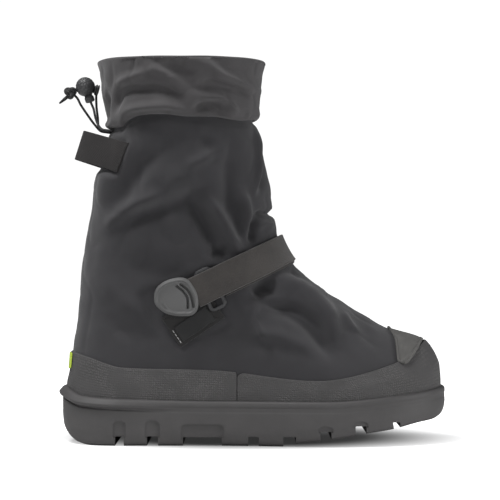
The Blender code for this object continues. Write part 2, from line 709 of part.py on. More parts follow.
def make_pull_loop():
    """Webbing loop that stands out behind the shaft, sewn to it on both sides."""
    steps = LOOP_ACROSS_STEPS
    offsets = [WEBBING_WIDTH * (i / steps - 0.5) for i in range(steps + 1)]
    outer = [loop_line(across, LOOP_OUT + WEBBING, LOOP_TIP_X - WEBBING) for across in offsets]
    inner = [loop_line(across, LOOP_OUT, LOOP_TIP_X) for across in offsets]
    rows = outer + inner[::-1]
    count = len(rows[0])
    points = [p for row in rows for p in row]
    faces = []
    for row in range(len(rows)):
        following = (row + 1) % len(rows)
        faces += band_faces(row * count, following * count, count, closed=False)
    for end in (0, count - 1):
        for row in range(steps):
            back = len(rows) - 1 - row
            faces.append((
                row * count + end, (row + 1) * count + end,
                (back - 1) * count + end, back * count + end,
            ))
    return part_object("pull_loop", mesh_from("pull_loop", points, faces), "webbing")


def ball_mesh(name, centre, radius):
    mesh = bpy.data.meshes.new(name)
    bm = bmesh.new()
    bmesh.ops.create_uvsphere(bm, u_segments=14, v_segments=8, radius=radius * MM)
    bmesh.ops.translate(bm, verts=bm.verts, vec=world(*centre))
    bm.to_mesh(mesh)
    bm.free()
    mesh.shade_smooth()
    return mesh


def rod_mesh(name, start, end, radius):
    """Short cylinder between two points."""
    low, high = world(*start), world(*end)
    axis = high - low
    mesh = bpy.data.meshes.new(name)
    bm = bmesh.new()
    bmesh.ops.create_cone(
        bm, cap_ends=True, segments=16, radius1=radius * MM, radius2=radius * MM, depth=axis.length
    )
    bmesh.ops.rotate(bm, verts=bm.verts, matrix=axis.to_track_quat("Z", "Y").to_matrix())
    bmesh.ops.translate(bm, verts=bm.verts, vec=(low + high) / 2)
    bm.to_mesh(mesh)
    bm.free()
    mesh.shade_smooth()
    mesh.set_sharp_from_angle(angle=SHARP_ANGLE)
    return mesh


def make_cord_lock():
    """Round cord lock with its foot, and the button between it and the collar."""
    lock = part_object("cord_lock", ball_mesh("cord_lock", LOCK_CENTRE, LOCK_RADIUS), "hard plastic")
    foot = cutter_object("lock_foot", rod_mesh("lock_foot", *LOCK_FOOT, LOCK_FOOT_RADIUS))
    boolean(lock, foot, "UNION")
    button = rod_mesh("cord_lock_button", BUTTON_FROM, BUTTON_TO, BUTTON_RADIUS)
    part_object("cord_lock_button", button, "hard plastic")
    part_object("cord_knot", ball_mesh("cord_knot", KNOT_CENTRE, KNOT_RADIUS), "cord")


def make_cord(name, route, radius):
    """Round cord as a bevelled curve through a smooth line of its route's points."""
    lengths = [0.0]
    for a, b in zip(route, route[1:]):
        lengths.append(lengths[-1] + math.dist(a, b))
    data = bpy.data.curves.new(name, "CURVE")
    data.dimensions = "3D"
    data.bevel_depth = radius * MM
    data.bevel_resolution = 2
    data.use_fill_caps = True
    spline = data.splines.new("POLY")
    spline.points.add(CORD_POINTS - 1)
    for k in range(CORD_POINTS):
        at = lengths[-1] * k / (CORD_POINTS - 1)
        x, y, z = (curve_value(lengths, [p[axis] for p in route], at) for axis in range(3))
        spline.points[k].co = (*world(x, y, z), 1.0)
    part_object(name, data, "cord")


def make_cords():
    """Two cords from the cuff to the lock, a thin strand to the knot and the tail below it."""
    make_cord("cord_left", CORD_LEFT, CORD_RADIUS)
    make_cord("cord_right", CORD_RIGHT, CORD_RADIUS)
    make_cord("cord_strand", CORD_STRAND, CORD_RADIUS)
    make_cord("cord_tail", CORD_TAIL, TAIL_RADIUS)


def main():
    for body in list(bpy.data.objects):
        bpy.data.objects.remove(body)
    for name in ("overshoe", "cutters"):
        collection = bpy.data.collections.new(name)
        bpy.context.scene.collection.children.link(collection)
    make_outsole()
    make_insole()
    make_upper()
    make_collar()
    make_rands()
    make_toe_patch()
    make_heel_patch()
    make_strap()
    make_strap_ring()
    make_anchor_and_label()
    make_pull_loop()
    make_cord_lock()
    make_cords()


main()
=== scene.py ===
"""Looks of the winter overshoe: folded nylon upper and cuff, rubber sole and band, strap, loop and cord.

Lengths in the tables are millimetres in the shoe's own frame: x forward from the back wall of the
sole, y towards the inner side of the foot, z up from the floor.
"""
import math
from collections import namedtuple

import bmesh
import bpy
import numpy as np
from bpy.props import FloatProperty, FloatVectorProperty, PointerProperty
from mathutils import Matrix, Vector, noise


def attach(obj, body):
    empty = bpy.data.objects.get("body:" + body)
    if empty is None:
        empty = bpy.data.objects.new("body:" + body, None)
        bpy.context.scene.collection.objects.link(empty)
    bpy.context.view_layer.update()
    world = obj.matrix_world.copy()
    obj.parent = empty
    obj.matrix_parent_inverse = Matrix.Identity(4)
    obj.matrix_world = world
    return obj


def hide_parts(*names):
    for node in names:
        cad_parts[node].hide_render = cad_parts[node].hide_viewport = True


bl_info = {
    "name": "Winter overshoe",
    "version": (1, 0, 0),
    "blender": (4, 5, 0),
    "location": "3D View > Sidebar > Overshoe",
    "description": "Makes the cloth, rubber and trim of a winter overshoe on its frame",
    "category": "Object",
}

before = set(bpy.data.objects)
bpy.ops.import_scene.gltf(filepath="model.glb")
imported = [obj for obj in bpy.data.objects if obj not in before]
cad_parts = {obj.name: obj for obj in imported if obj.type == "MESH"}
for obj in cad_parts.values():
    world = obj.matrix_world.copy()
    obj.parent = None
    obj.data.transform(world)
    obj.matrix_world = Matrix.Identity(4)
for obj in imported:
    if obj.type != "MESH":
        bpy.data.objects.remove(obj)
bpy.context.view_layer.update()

MM = 0.001
HEEL_LUG_X = 62.3
ROUNDNESS = 2.15
GAP = 0.3
BISECTIONS = 17
TOE_LEAN, LEAN_FROM_X, LEAN_LENGTH = 7.0, 110.0, 200.0
ARCH_REACH = 48.0
STATIONS = (45.0, 125.0, 215.0)
DROP_SHARES = (0.0, 0.05, 0.15, 0.4, 0.7, 0.9, 1.0)

# Rings of the upper's outer face, mm: ends in the side view, half widths at the three stations,
# lengths over which the ends are rounded, hollow of the inner waist and drops at the shares
COLUMNS = (
    "back_x back_z front_x front_z heel waist ball round_back round_front arch "
    "drop5 drop15 drop40 drop70 drop90"
).split()
RINGS = {
    "bed": (5.6, 29.3, 309.6, 34.3, 39.5, 37.5, 53.0, 44, 80, 6, 1.0, 2.7, 5.5, 8.3, 3.8),
    "rim": (5.2, 46.0, 310.3, 45.5, 41.0, 40.0, 55.5, 44, 80, 5, 6.6, 8.6, 10.4, 9.8, 4.3),
    "counter": (7.8, 60.0, 309.4, 61.0, 41.0, 41.0, 56.0, 45, 80, 4, 5.1, 10, 12.4, 16.4, 7.8),
    "rand top": (9.0, 74.6, 297.5, 82.5, 40.0, 41.0, 55.0, 46, 84, 3, 4.3, 13.3, 17.3, 27.5, 16.7),
    "toe cap": (12.5, 103.0, 268.0, 93.0, 39.0, 41.0, 55.0, 50, 110, 2, 5, 13, 14.4, 16, 8),
    "vamp": (13.7, 118.0, 242.4, 107.3, 38.0, 41.5, 51.0, 52, 112, 1, 1.5, 4, 5, 4, 1),
    "instep": (14.8, 134.0, 217.0, 122.0, 38.5, 42.0, 47.0, 54, 110, 0, 0, 1, 1, 1, 0),
    "throat": (17.0, 150.0, 199.6, 136.8, 39.5, 43.0, 45.0, 57, 105, 0, 0, 0, 0, 0, 0),
    "ankle": (19.9, 168.0, 187.0, 149.5, 41.5, 44.5, 44.5, 60, 100, 0, 0, 0, 0, 0, 0),
    "strap": (23.0, 187.0, 175.5, 175.0, 44.5, 47.0, 47.0, 62, 88, 0, 0, 0, 0, 0, 0),
    "shaft low": (27.2, 208.0, 171.4, 206.0, 48.0, 50.0, 50.0, 63, 79, 0, 0, 0, 0, 0, 0),
    "shaft high": (32.8, 232.0, 165.6, 236.0, 51.0, 52.0, 52.0, 60, 72, 0, 0, 0, 0, 0, 0),
    "cinch": (38.3, 258.5, 158.9, 264.5, 48.5, 50.0, 50.0, 54, 66, 0, 0, 0, 0, 0, 0),
    "cuff": (34.5, 284.0, 160.8, 286.0, 52.5, 54.0, 54.0, 57, 69, 0, 0, 0, 0, 0, 0),
    "top": (30.3, 311.5, 165.6, 311.5, 55.5, 57.0, 57.0, 60, 75, 0, 0, 0, 0, 0, 0),
}
RING_TABLE = np.array(list(RINGS.values()), float)
LEVEL = {name: index for index, name in enumerate(RINGS)}
TOP = len(RINGS) - 1

# Creases of the cloth as soft ridges and hollows, mm: side of the foot, depth out of the surface,
# half width and the points x, z that each runs through in the side view
Fold = namedtuple("Fold", "name side depth width points")
OUTER, INNER, BOTH = -1, 1, 0
SHAFT_GAIN, CUFF_GAIN, WIDTH_GAIN = 2.2, 3.3, 0.85
SHAFT_FOLDS = (
    Fold("back hollow", OUTER, -2.5, 10.0, ((91, 247), (80, 235), (63, 218), (54, 202), (50, 190))),
    Fold("back swell", OUTER, 2.2, 10.0, ((58, 246), (44, 228), (37, 208), (36, 190))),
    Fold("back ridge", OUTER, 2.6, 7.0, ((38, 175), (50, 185), (65, 194), (84, 200))),
    Fold("middle swell", OUTER, 2.0, 12.0, ((112, 219), (96, 214), (84, 206))),
    Fold("middle hollow", OUTER, -2.6, 8.5, ((116, 203), (92, 193), (66, 185), (56, 176))),
    Fold("upper ridge", OUTER, 2.0, 6.0, ((103, 224), (117, 230), (130, 238))),
    Fold("upper hollow", OUTER, -1.8, 7.0, ((112, 245), (122, 240), (128, 226))),
    Fold("long ridge", OUTER, 3.4, 5.0, ((119, 201), (131, 184), (140, 167), (147, 156))),
    Fold("hollow by the ridge", OUTER, -4.2, 8.0, ((106, 197), (117, 178), (128, 158))),
    Fold("front hollow", OUTER, -2.3, 7.5, ((138, 240), (137, 197), (144, 179), (151, 161))),
    Fold("front ridge", OUTER, 2.6, 4.5, ((148, 205), (152, 183), (150, 166))),
    Fold("inner front hollow", OUTER, -2.6, 3.5, ((156, 183), (156, 162))),
    Fold("gusset edge", OUTER, 2.0, 2.6, ((160, 255), (162, 226), (158, 203))),
    Fold("gusset hollow", OUTER, -2.6, 4.0, ((166, 250), (167, 226), (163, 204))),
    Fold("pucker", BOTH, -2.4, 2.6, ((158, 184), (165, 188), (171, 188), (178, 184))),
    Fold("pucker bump", BOTH, 1.6, 4.5, ((157, 176), (165, 178), (174, 175))),
    Fold("strap hollow", OUTER, -3.8, 7.0, ((122, 155), (137, 154))),
    Fold("side hollow", OUTER, -1.6, 12.0, ((60, 150), (84, 140), (104, 146))),
    Fold("heel ridge", OUTER, 1.2, 9.0, ((30, 140), (52, 116), (84, 104))),
    Fold("heel hollow", OUTER, -0.8, 9.0, ((28, 108), (54, 92), (88, 86))),
    Fold("side dent", OUTER, -1.2, 9.0, ((96, 112), (118, 100), (140, 94))),
    Fold("vamp hollow", OUTER, -4.6, 7.0, ((156, 121), (165, 128), (175, 129))),
    Fold("vamp ridge", OUTER, 3.8, 8.0, ((172, 134), (192, 126), (208, 114), (218, 100), (222, 84))),
    Fold("vamp trough", OUTER, -3.3, 7.5,
         ((166, 111), (184, 108), (196, 101), (208, 89), (216, 77), (223, 64))),
    Fold("edge of the trough", OUTER, -2.2, 3.2,
         ((162, 116), (174, 114), (187, 113), (200, 106), (212, 94), (218, 82))),
    Fold("small ridge", OUTER, 1.6, 2.8, ((161, 113), (159, 102), (163, 92), (168, 85))),
    Fold("lower ridge", OUTER, 1.5, 6.5, ((157, 91), (176, 89), (196, 80), (207, 71))),
    Fold("lower hollow", OUTER, -0.6, 7.0, ((152, 80), (174, 78), (190, 69))),
    Fold("toe crease", OUTER, 1.4, 3.6, ((228, 106), (234, 98), (240, 90))),
    Fold("toe hollow", OUTER, -0.9, 6.0, ((236, 108), (246, 96), (252, 86))),
    Fold("instep crease", BOTH, 1.2, 4.0, ((206, 126), (216, 117))),
    Fold("instep dip", BOTH, -1.0, 4.5, ((186, 142), (196, 133))),
    Fold("inner back hollow", INNER, -3.0, 10.0, ((96, 250), (82, 230), (64, 212), (52, 186))),
    Fold("inner back ridge", INNER, 2.4, 7.5, ((40, 182), (58, 190), (82, 192), (100, 186))),
    Fold("inner long ridge", INNER, 3.0, 5.5, ((112, 214), (126, 192), (140, 172), (150, 158))),
    Fold("inner long hollow", INNER, -3.6, 7.5, ((98, 200), (114, 180), (130, 160))),
    Fold("inner front hollow", INNER, -3.0, 5.0, ((136, 244), (138, 206), (148, 180), (154, 164))),
    Fold("inner side hollow", INNER, -2.0, 10.0, ((52, 160), (80, 148), (106, 150))),
    Fold("inner heel ridge", INNER, 1.6, 8.0, ((32, 128), (60, 110), (92, 102))),
    Fold("inner vamp ridge", INNER, 4.0, 6.5, ((174, 132), (194, 122), (210, 108), (220, 92))),
    Fold("inner vamp trough", INNER, -4.0, 5.5,
         ((160, 118), (182, 112), (200, 100), (212, 86), (222, 68))),
    Fold("inner lower ridge", INNER, 2.2, 5.0, ((148, 98), (172, 92), (194, 78))),
    Fold("inner toe hollow", INNER, -1.4, 5.0, ((232, 108), (242, 98), (250, 84))),
)
CUFF_FOLDS = (
    Fold("cuff hollow", OUTER, -2.6, 3.8,
         ((47, 270), (51, 282), (61, 286), (76, 286), (88, 284), (98, 280))),
    Fold("cuff band", OUTER, 1.6, 4.5, ((54, 268), (66, 271), (83, 273), (104, 269))),
    Fold("bright ridge", OUTER, 1.5, 5.0, ((108, 313), (122, 303), (134, 295), (146, 290), (160, 287))),
    Fold("slanting hollow", OUTER, -1.0, 4.5, ((84, 300), (98, 296), (110, 288), (124, 284))),
    Fold("hollow under the ridge", OUTER, -2.4, 4.0, ((116, 291), (134, 289), (154, 283))),
    Fold("front hollow", OUTER, -2.2, 4.0, ((109, 270), (121, 273), (131, 268))),
    Fold("front ridge", OUTER, 1.6, 3.4, ((115, 280), (126, 280), (135, 276), (143, 267))),
    Fold("upper ridge", OUTER, 1.4, 4.5, ((74, 304), (83, 299), (97, 294))),
    Fold("upper hollow", OUTER, -1.2, 4.5, ((84, 306), (98, 302), (112, 296))),
    Fold("left ridge", OUTER, 1.2, 4.0, ((48, 291), (62, 296), (74, 299))),
    Fold("back pleat", BOTH, -1.6, 3.0, ((40, 260), (39, 284))),
    Fold("inner cuff hollow", INNER, -2.8, 4.8, ((52, 272), (62, 284), (84, 287), (106, 281))),
    Fold("inner ridge", INNER, 2.0, 4.0, ((104, 308), (124, 298), (144, 290))),
    Fold("inner front hollow", INNER, -2.0, 4.2, ((112, 284), (130, 276), (144, 268))),
    Fold("inner band", INNER, 1.6, 4.4, ((58, 266), (80, 271), (104, 268))),
)

# Edge of the cuff's hem in the side view, mm
HEM_LINE = (
    (36.0, 257.0), (46.0, 256.2), (51.0, 256.4), (55.0, 260.4), (59.5, 262.8), (66.0, 264.8),
    (76.0, 265.6), (86.0, 265.6), (95.0, 264.6), (106.0, 263.6), (125.0, 263.7), (135.0, 262.4),
    (145.0, 261.4), (159.0, 263.7),
)
CUFF_HEIGHTS = (0.0, 0.7, 2.2, 5.0, 10.0, 20.0, 36.0)
CUFF_OUTS = (0.5, 1.9, 3.0, 3.9, 3.6, 2.2, 1.6)
CUFF_TOP_Z = 311.4
TUCK_DEPTH, CUFF_DEEPEST, FACING_BEHIND = 3.8, -3.1, 3.2
# Gathers over the hem: number round the cuff, sway, number of sways, height of fading, depth
GATHERS = ((17, 1.3, 3, 9.0, 0.7), (29, 2.0, 5, 5.0, 0.35))
# Rolled top edge of the cuff, mm: distance out and height
CUFF_EDGE = ((1.5, -1.6), (1.5, -0.7), (1.15, 0.0), (0.5, 0.35), (-0.4, 0.35), (-1.1, 0.0), (-1.5, -0.7))

# Unevenness of the cloth: depth, size of the lumps and seed
SHAFT_LUMPS = ((1.1, 30.0, 3.0), (0.45, 11.0, 7.0))
CUFF_LUMPS = ((0.8, 20.0, 21.0), (0.35, 8.0, 5.0))

# Sharp wrinkles of the cloth: depth, size and seed, and the axes along which the shaft's run
SHAFT_WRINKLES, CUFF_WRINKLES, WRINKLE_SHARPNESS = (0.8, 26.0, 17.0), (1.2, 22.0, 31.0), 6
WRINKLE_AXES = ((0.8, 0.0, -0.5), (0.0, 1.0, 0.0), (0.5, 0.0, 0.55))

# Where sewn pieces hold the shaft's cloth flat, mm: reach of each and the length of its fading
STRAP_HOLD, STRAP_HOLD_START = (10.5, 14.5), (-8.0, 2.0)
GRIP_HOLD, GRIP_HOLD_START, GRIP_HOLD_END = (14.0, 22.0), (-44.0, -36.0), 4
LOOP_HOLD, LOOP_FADE, PATCH_FADE, TOE_HOLD = (-60.0, 1.0), 7.0, 6.0, (250.0, 263.0)
HELD_DEPTH, PINCH_DEPTH, PINCH_HEIGHT = 0.6, 3.0, 3.2
# Heights between which the creases fade in over the band, mm, and how far the toe lifts them
CREASES_FROM, CREASES_TOE, CREASES_TOE_X = (60.0, 84.0), 8, (230, 300)

# Rows of the cuff, mm: height and depth of the tucked start, heights near the hem, ends of its face
CUFF_TUCK = ((0.5, 2.2), (0.15, 0.6))
HEM_HEIGHTS = (0.0, 0.35, 0.8, 1.5, 2.4, 3.6)
CUFF_FACE, CUFF_INSIDE, CUFF_INSIDE_STEP = (5.0, 48.0), (46.0, 1.0), -2.0
CUFF_WAVE = (0.5, 30.0, 2.0)

# Fineness of the meshes: columns round the foot, and mm between rows
CLOTH_COLUMNS, LINING_COLUMNS, SOLE_COLUMNS = 276, 132, 264
CLOTH_STEP, LINING_STEP = 1.35, 3.0

# Height of the tread above the floor along the sole, mm
TREAD_LINE = (
    (0.0, 15.0), (2.0, 12.5), (8.0, 6.4), (16.0, 1.9), (27.0, 0.0), (60.0, 0.0), (181.0, 0.0),
    (192.0, 2.6), (221.0, 6.2), (241.0, 9.8), (267.0, 13.4), (290.0, 18.2), (303.0, 20.0),
    (310.0, 22.6), (316.0, 29.0),
)

# Outside of the sole from the rim down to the tread, mm: growth past the rim ring, what the heel adds,
# drop below the rim or share of the height over the tread
SOLE_ROWS = (
    (1.1, 0.0, -0.1, None), (2.3, 0.0, -0.2, None), (3.6, 0.1, 0.2, None), (4.5, 0.6, 1.2, None),
    (4.9, 1.9, 3.2, None), (4.7, 3.1, 4.6, None), (4.5, 3.2, 5.3, None), (4.5, 2.3, 6.6, None),
    (4.5, -0.7, 7.2, None), (4.5, -1.1, 8.2, None), (4.6, -0.5, 8.9, None), (4.7, 0.1, 9.6, None),
    (4.8, 0.0, None, 0.36), (4.5, 0.0, None, 0.2), (3.8, 0.0, None, 0.06), (1.4, 0.0, None, 0.0),
)
WALL_TOP_ROW = 11
LEDGE_FROM_X, LEDGE_TO_X = 20.0, 106.0
RIM_INSIDE_LEVEL = 0.93

# Gaps between the lugs, mm: from, to, depth and top of the shallow recess above, zero where none
Notch = namedtuple("Notch", "from_x to_x depth recess_top")
NOTCHES = (
    Notch(46.0, 53.1, 7.6, 20.0), Notch(71.6, 80.6, 7.6, 20.0), Notch(100.4, 131.8, 7.0, 17.0),
    Notch(152.9, 161.3, 7.6, 0.0), Notch(180.9, 191.1, 7.0, 0.0), Notch(210.3, 219.1, 7.0, 16.5),
    Notch(238.3, 247.1, 6.6, 20.5), Notch(268.5, 274.6, 5.0, 0.0),
)
RECESS_DEPTH, RECESS_MARGIN = 1.2, 1.5
BELOW_FLOOR = -5.0

RAND_THICKNESS = 1.6
RAND_SEAM_X = 144.0
RAND_CORNER = 6.0
TOE_PATCH = (
    (258.5, 110.0, 0.0), (272.0, 85.0, 12.0), (273.0, 64.5, 5.0), (280.5, 64.0, 6.0),
    (293.0, 80.0, 15.0), (301.0, 87.5, 0.0), (305.0, 110.0, 0.0),
)
HEEL_PATCH = (15.0, 60.0, 73.0)

WEBBING, WEBBING_WIDTH = 1.8, 25.0
STRAP_START = (108.8, 122.3)
STRAP_ANGLE = math.radians(25.5)
STRAP_OUT_SIDE, STRAP_OUT_FRONT = 4.1, 2.5
STRAP_EASE = (140.0, 162.0)
STRAP_LOWER_SHIFT, STRAP_LOWER_START = -1.2, 22.4
GRIP_OUTLINE = (
    (77.7, 118.7), (78.5, 124.3), (81.2, 128.6), (87.2, 132.7), (94.0, 134.8), (100.2, 135.3),
    (105.4, 133.2), (109.0, 128.3), (112.0, 122.7), (113.3, 117.0), (112.9, 110.6), (110.4, 106.3),
    (105.8, 104.3), (95.4, 104.3), (87.2, 106.2), (81.0, 110.7), (78.3, 114.5),
)
GRIP_OUT = 4.1
RING_CENTRE, RING_SIZE, RING_BAR = (13.9, -2.9), (15.0, 36.0), 3.0
ANCHOR_EDGE, ANCHOR_ANGLE, ANCHOR_SIZE = (90.9, 90.4), math.radians(34.0), (43.0, 28.5)
LABEL_SIZE, LABEL_SHIFT = (31.0, 13.5), (4.5, -4.5)

LOOP_START, LOOP_SLANT, LOOP_TIP_X = (48.4, 232.5), math.radians(17.5), 15.2
LOOP_LEAVES_TURN, LOOP_SEWN_TURN, LOOP_END_LEAN = 0.098, 0.129, 0.0008
LOOP_NOSE, LOOP_RUN = 9.0, 13.0
LOOP_OUT = 0.45

LOCK_CENTRE, LOCK_RADIUS = (18.8, -2.0, 291.3), 8.0
BUTTON_FROM, BUTTON_TO = (26.85, -2.0, 289.0), (29.9, -2.0, 288.15)
LOCK_FOOT = ((19.5, -2.0, 285.5), (22.0, -2.0, 278.2))
KNOT_CENTRE, KNOT_RADIUS, KNOT_ROPE = (6.5, -2.0, 286.5), 4.8, 1.9
CORD_RADIUS, TAIL_RADIUS = 1.0, 1.55
CORD_TAIL = ((5.6, -1.9, 284.6), (3.3, -2.0, 282.5), (0.6, -2.2, 280.2), (-2.6, -2.6, 277.5))
CORD_LEFT = (
    (43.0, -19.4, 253.8), (38.0, -17.5, 254.5), (34.6, -16.2, 255.0), (30.8, -12.0, 258.2),
    (27.6, -8.0, 265.5), (25.8, -5.4, 273.0), (24.3, -3.9, 276.3), (23.0, -2.6, 279.4),
)
CORD_RIGHT = (
    (41.0, -3.7, 253.4), (36.0, -3.4, 254.0), (32.4, -3.2, 254.4), (29.7, -2.6, 257.6),
    (29.0, -1.9, 266.0), (27.9, -1.6, 275.5), (27.7, -1.7, 282.6), (28.0, -1.9, 286.6),
)
CORD_STRAND = (
    (41.0, 0.8, 253.2), (36.0, 1.0, 254.0), (32.0, 1.2, 254.6), (27.0, 1.0, 259.4),
    (19.5, 0.2, 269.6), (14.4, -0.8, 277.4), (12.4, -1.4, 281.6), (9.6, -1.8, 284.6),
)

# Stage, metres: camera, lamps as place, size and share of the key light's power, and the shadow painted
# on the floor under the shoe as shift, scale, the reach over which it fades and its strength
CAMERA_PLACE, CAMERA_LENS, SENSOR_WIDTH, CLIP_END = (0.092, -1.6, 0.157), 139.8, 36.0, 50.0
LAMPS = (
    ("key", (-0.5, -0.3, 1.45), 0.5, 1.0), ("fill", (-0.1, -1.6, 0.4), 1.0, 0.18),
    ("toe", (1.5, -0.5, 0.3), 0.6, 0.42),
)
LAMP_AIM = (0.09, 0.0, 0.14)
SKY_SEEN, SKY_LIGHTING = 1.05, 0.21
FLOOR_X, FLOOR_SIZE = 0.09, 6.0
PAINTED_SHADOW_SHIFT, PAINTED_SHADOW_SCALE = (0.0, -0.3, 0.0), (6.0, 8.6, 1.0)
PAINTED_SHADOW_FROM, PAINTED_SHADOW_TO, PAINTED_SHADOW_STRENGTH = 0.55, 1.32, 0.8


def curve(keys, values, at):
    """Smooth curve through the values at the keys, level past both ends."""
    keys = np.asarray(keys, float)
    at = np.clip(np.asarray(at, float), keys[0], keys[-1])
    values = np.broadcast_to(np.asarray(values, float), (*at.shape, len(keys)))
    left = np.clip(np.searchsorted(keys, at, side="right") - 1, 0, len(keys) - 2)
    span = np.diff(keys)
    rate = np.diff(values, axis=-1) / span
    before, after = rate[..., :-1], rate[..., 1:]
    same_way = before * after > 0
    total = np.where(same_way, before + after, 1.0)
    inside = np.where(same_way, 2 * before * after / total, 0.0)
    slope = np.concatenate([rate[..., :1], inside, rate[..., -1:]], axis=-1)

    def pick(table, index):
        return np.take_along_axis(table, index[..., None], -1)[..., 0]

    width = span[left]
    u = (at - keys[left]) / width
    start = pick(values, left)
    rise = pick(values, left + 1) - start
    bend_left = pick(slope, left) * width - rise
    bend_right = rise - pick(slope, left + 1) * width
    return start + rise * u + u * (1 - u) * ((1 - u) * bend_left + u * bend_right)


def line_curve(line, at):
    return curve([p[0] for p in line], [p[1] for p in line], at)


def smooth(low, high, value):
    """Share from 0 to 1 with level ends as the value goes from low to high."""
    u = np.clip((value - low) / (high - low), 0.0, 1.0)
    return u * u * (3 - 2 * u)


def running_lengths(points):
    """Length from the first point to each point of a line."""
    steps = np.linalg.norm(np.diff(points, axis=0), axis=-1)
    return np.concatenate([[0], np.cumsum(steps)])


def unit(vectors):
    return vectors / np.maximum(np.linalg.norm(vectors, axis=-1, keepdims=True), 1e-9)


def ring_columns(level):
    return {name: curve(range(TOP + 1), RING_TABLE[:, i], level) for i, name in enumerate(COLUMNS)}


def turn_at(level, x, side):
    """Turn round the ring at which the outer or inner side reaches this station."""
    ring = ring_columns(level)
    share = np.clip((x - ring["back_x"]) / (ring["front_x"] - ring["back_x"]), 0.0, 1.0)
    turn = np.arccos(1 - 2 * share) / (2 * math.pi)
    return turn if side == OUTER else 1 - turn


def middle_y(x):
    along = np.maximum(0.0, (x - LEAN_FROM_X) / LEAN_LENGTH)
    return TOE_LEAN * along * along


def surface(level, turn):
    """Points of the upper's smooth outer face: turn 0 at the heel, a quarter on the outer side."""
    level, turn = np.broadcast_arrays(np.asarray(level, float), np.asarray(turn, float))
    ring = ring_columns(level)
    angle = 2 * math.pi * turn
    share = (1 - np.cos(angle)) / 2
    inner = np.where(np.sin(angle) < 0, 1.0, -1.0)
    run = ring["front_x"] - ring["back_x"]
    climb = ring["front_z"] - ring["back_z"]
    length = np.hypot(run, climb)
    x = ring["back_x"] + share * run
    none = np.zeros_like(share)
    drops = [none] + [ring[name] for name in ("drop5", "drop15", "drop40", "drop70", "drop90")] + [none]
    z = ring["back_z"] + share * climb - curve(DROP_SHARES, np.stack(drops, -1), share)
    half = curve(STATIONS, np.stack([ring["heel"], ring["waist"], ring["ball"]], -1), x)
    hollow = ring["arch"] * np.exp(-(((x - STATIONS[1]) / ARCH_REACH) ** 2))
    half = half - np.where(inner > 0, hollow, 0.0)

    def end_share(distance, rounding):
        left = np.clip(1 - distance / rounding, 0.0, 1.0) ** ROUNDNESS
        return (1 - left) ** (1 / ROUNDNESS)

    half = half * end_share(share * length, ring["round_back"])
    half = half * end_share((1 - share) * length, ring["round_front"])
    return np.stack([x, middle_y(x) + inner * half, z], -1)


def surface_frame(level, turn):
    """Points and outward normals of the smooth outer face."""
    level, turn = np.broadcast_arrays(np.asarray(level, float), np.asarray(turn, float))
    around, up = 0.004, 0.1
    along = surface(level, turn + around) - surface(level, turn - around)
    rise = surface(np.minimum(level + up, TOP), turn) - surface(np.maximum(level - up, 0), turn)
    return surface(level, turn), unit(np.cross(along, rise))


def level_where(turn, low, high, is_above):
    """Level on each meridian between low and high where the test turns true."""
    low = np.full(np.shape(turn), float(low))
    high = np.full(np.shape(turn), float(high))
    for _ in range(BISECTIONS):
        middle = (low + high) / 2
        above = is_above(surface(middle, turn))
        low = np.where(above, low, middle)
        high = np.where(above, middle, high)
    return (low + high) / 2


def locate(x, z, side):
    """Level and turn of points given in the side view."""
    x, z = np.broadcast_arrays(np.asarray(x, float), np.asarray(z, float))
    low = np.zeros(x.shape)
    high = np.full(x.shape, float(TOP))
    for _ in range(BISECTIONS):
        middle = (low + high) / 2
        above = surface(middle, turn_at(middle, x, side))[..., 2] > z
        low = np.where(above, low, middle)
        high = np.where(above, middle, high)
    level = (low + high) / 2
    return level, turn_at(level, x, side)


def fold_height(points, table):
    """How far the creases of a table move these points out of the smooth surface."""
    flat = points.reshape(-1, 3)
    total = np.zeros(len(flat))
    inner_share = smooth(-9.0, 9.0, flat[:, 1] - middle_y(flat[:, 0]))
    for fold in table:
        corners = np.array(fold.points, float)
        lengths = np.concatenate([[0], np.cumsum(np.hypot(*np.diff(corners, axis=0).T))])
        shares = np.linspace(0, 1, 4 * len(corners))
        line = np.stack([curve(lengths, corners[:, k], shares * lengths[-1]) for k in (0, 1)], -1)
        width = fold.width * WIDTH_GAIN
        reach = 2.6 * width
        low, high = line.min(0) - reach, line.max(0) + reach
        near = np.nonzero(
            (flat[:, 0] > low[0]) & (flat[:, 0] < high[0])
            & (flat[:, 2] > low[1]) & (flat[:, 2] < high[1])
        )[0]
        if len(near) == 0:
            continue
        spot = flat[near][:, (0, 2)]
        best = np.full(len(near), 1e9)
        where = np.zeros(len(near))
        for k in range(len(line) - 1):
            step = line[k + 1] - line[k]
            t = np.clip(((spot - line[k]) @ step) / (step @ step), 0.0, 1.0)
            distance = np.hypot(*(spot - line[k] - t[:, None] * step).T)
            closer = distance < best
            best = np.where(closer, distance, best)
            where = np.where(closer, shares[k] + t * (shares[k + 1] - shares[k]), where)
        taper = smooth(-0.12, 0.28, where) * smooth(1.12, 0.72, where)
        height = fold.depth * taper * np.exp(-((best / width) ** 2))
        if fold.side == OUTER:
            height = height * (1 - inner_share[near])
        elif fold.side == INNER:
            height = height * inner_share[near]
        total[near] += height
    return total.reshape(points.shape[:-1])


def strap_axes(points):
    """Length along the strap's slanted line and height across it, in the side view."""
    x, z = points[..., 0] - STRAP_START[0], points[..., 2] - STRAP_START[1]
    cos, sin = math.cos(STRAP_ANGLE), math.sin(STRAP_ANGLE)
    return x * cos + z * sin, z * cos - x * sin


def hold_box(points, start, angle, along, across, fade):
    """Share from 1 inside a slanted box of the side view to 0 beyond its fade."""
    x, z = points[..., 0] - start[0], points[..., 2] - start[1]
    cos, sin = math.cos(angle), math.sin(angle)
    u, v = x * cos + z * sin, z * cos - x * sin
    past_u = np.maximum(np.maximum(along[0] - u, u - along[1]), 0.0)
    past_v = np.maximum(np.maximum(across[0] - v, v - across[1]), 0.0)
    return 1 - smooth(0.0, fade, np.hypot(past_u, past_v))


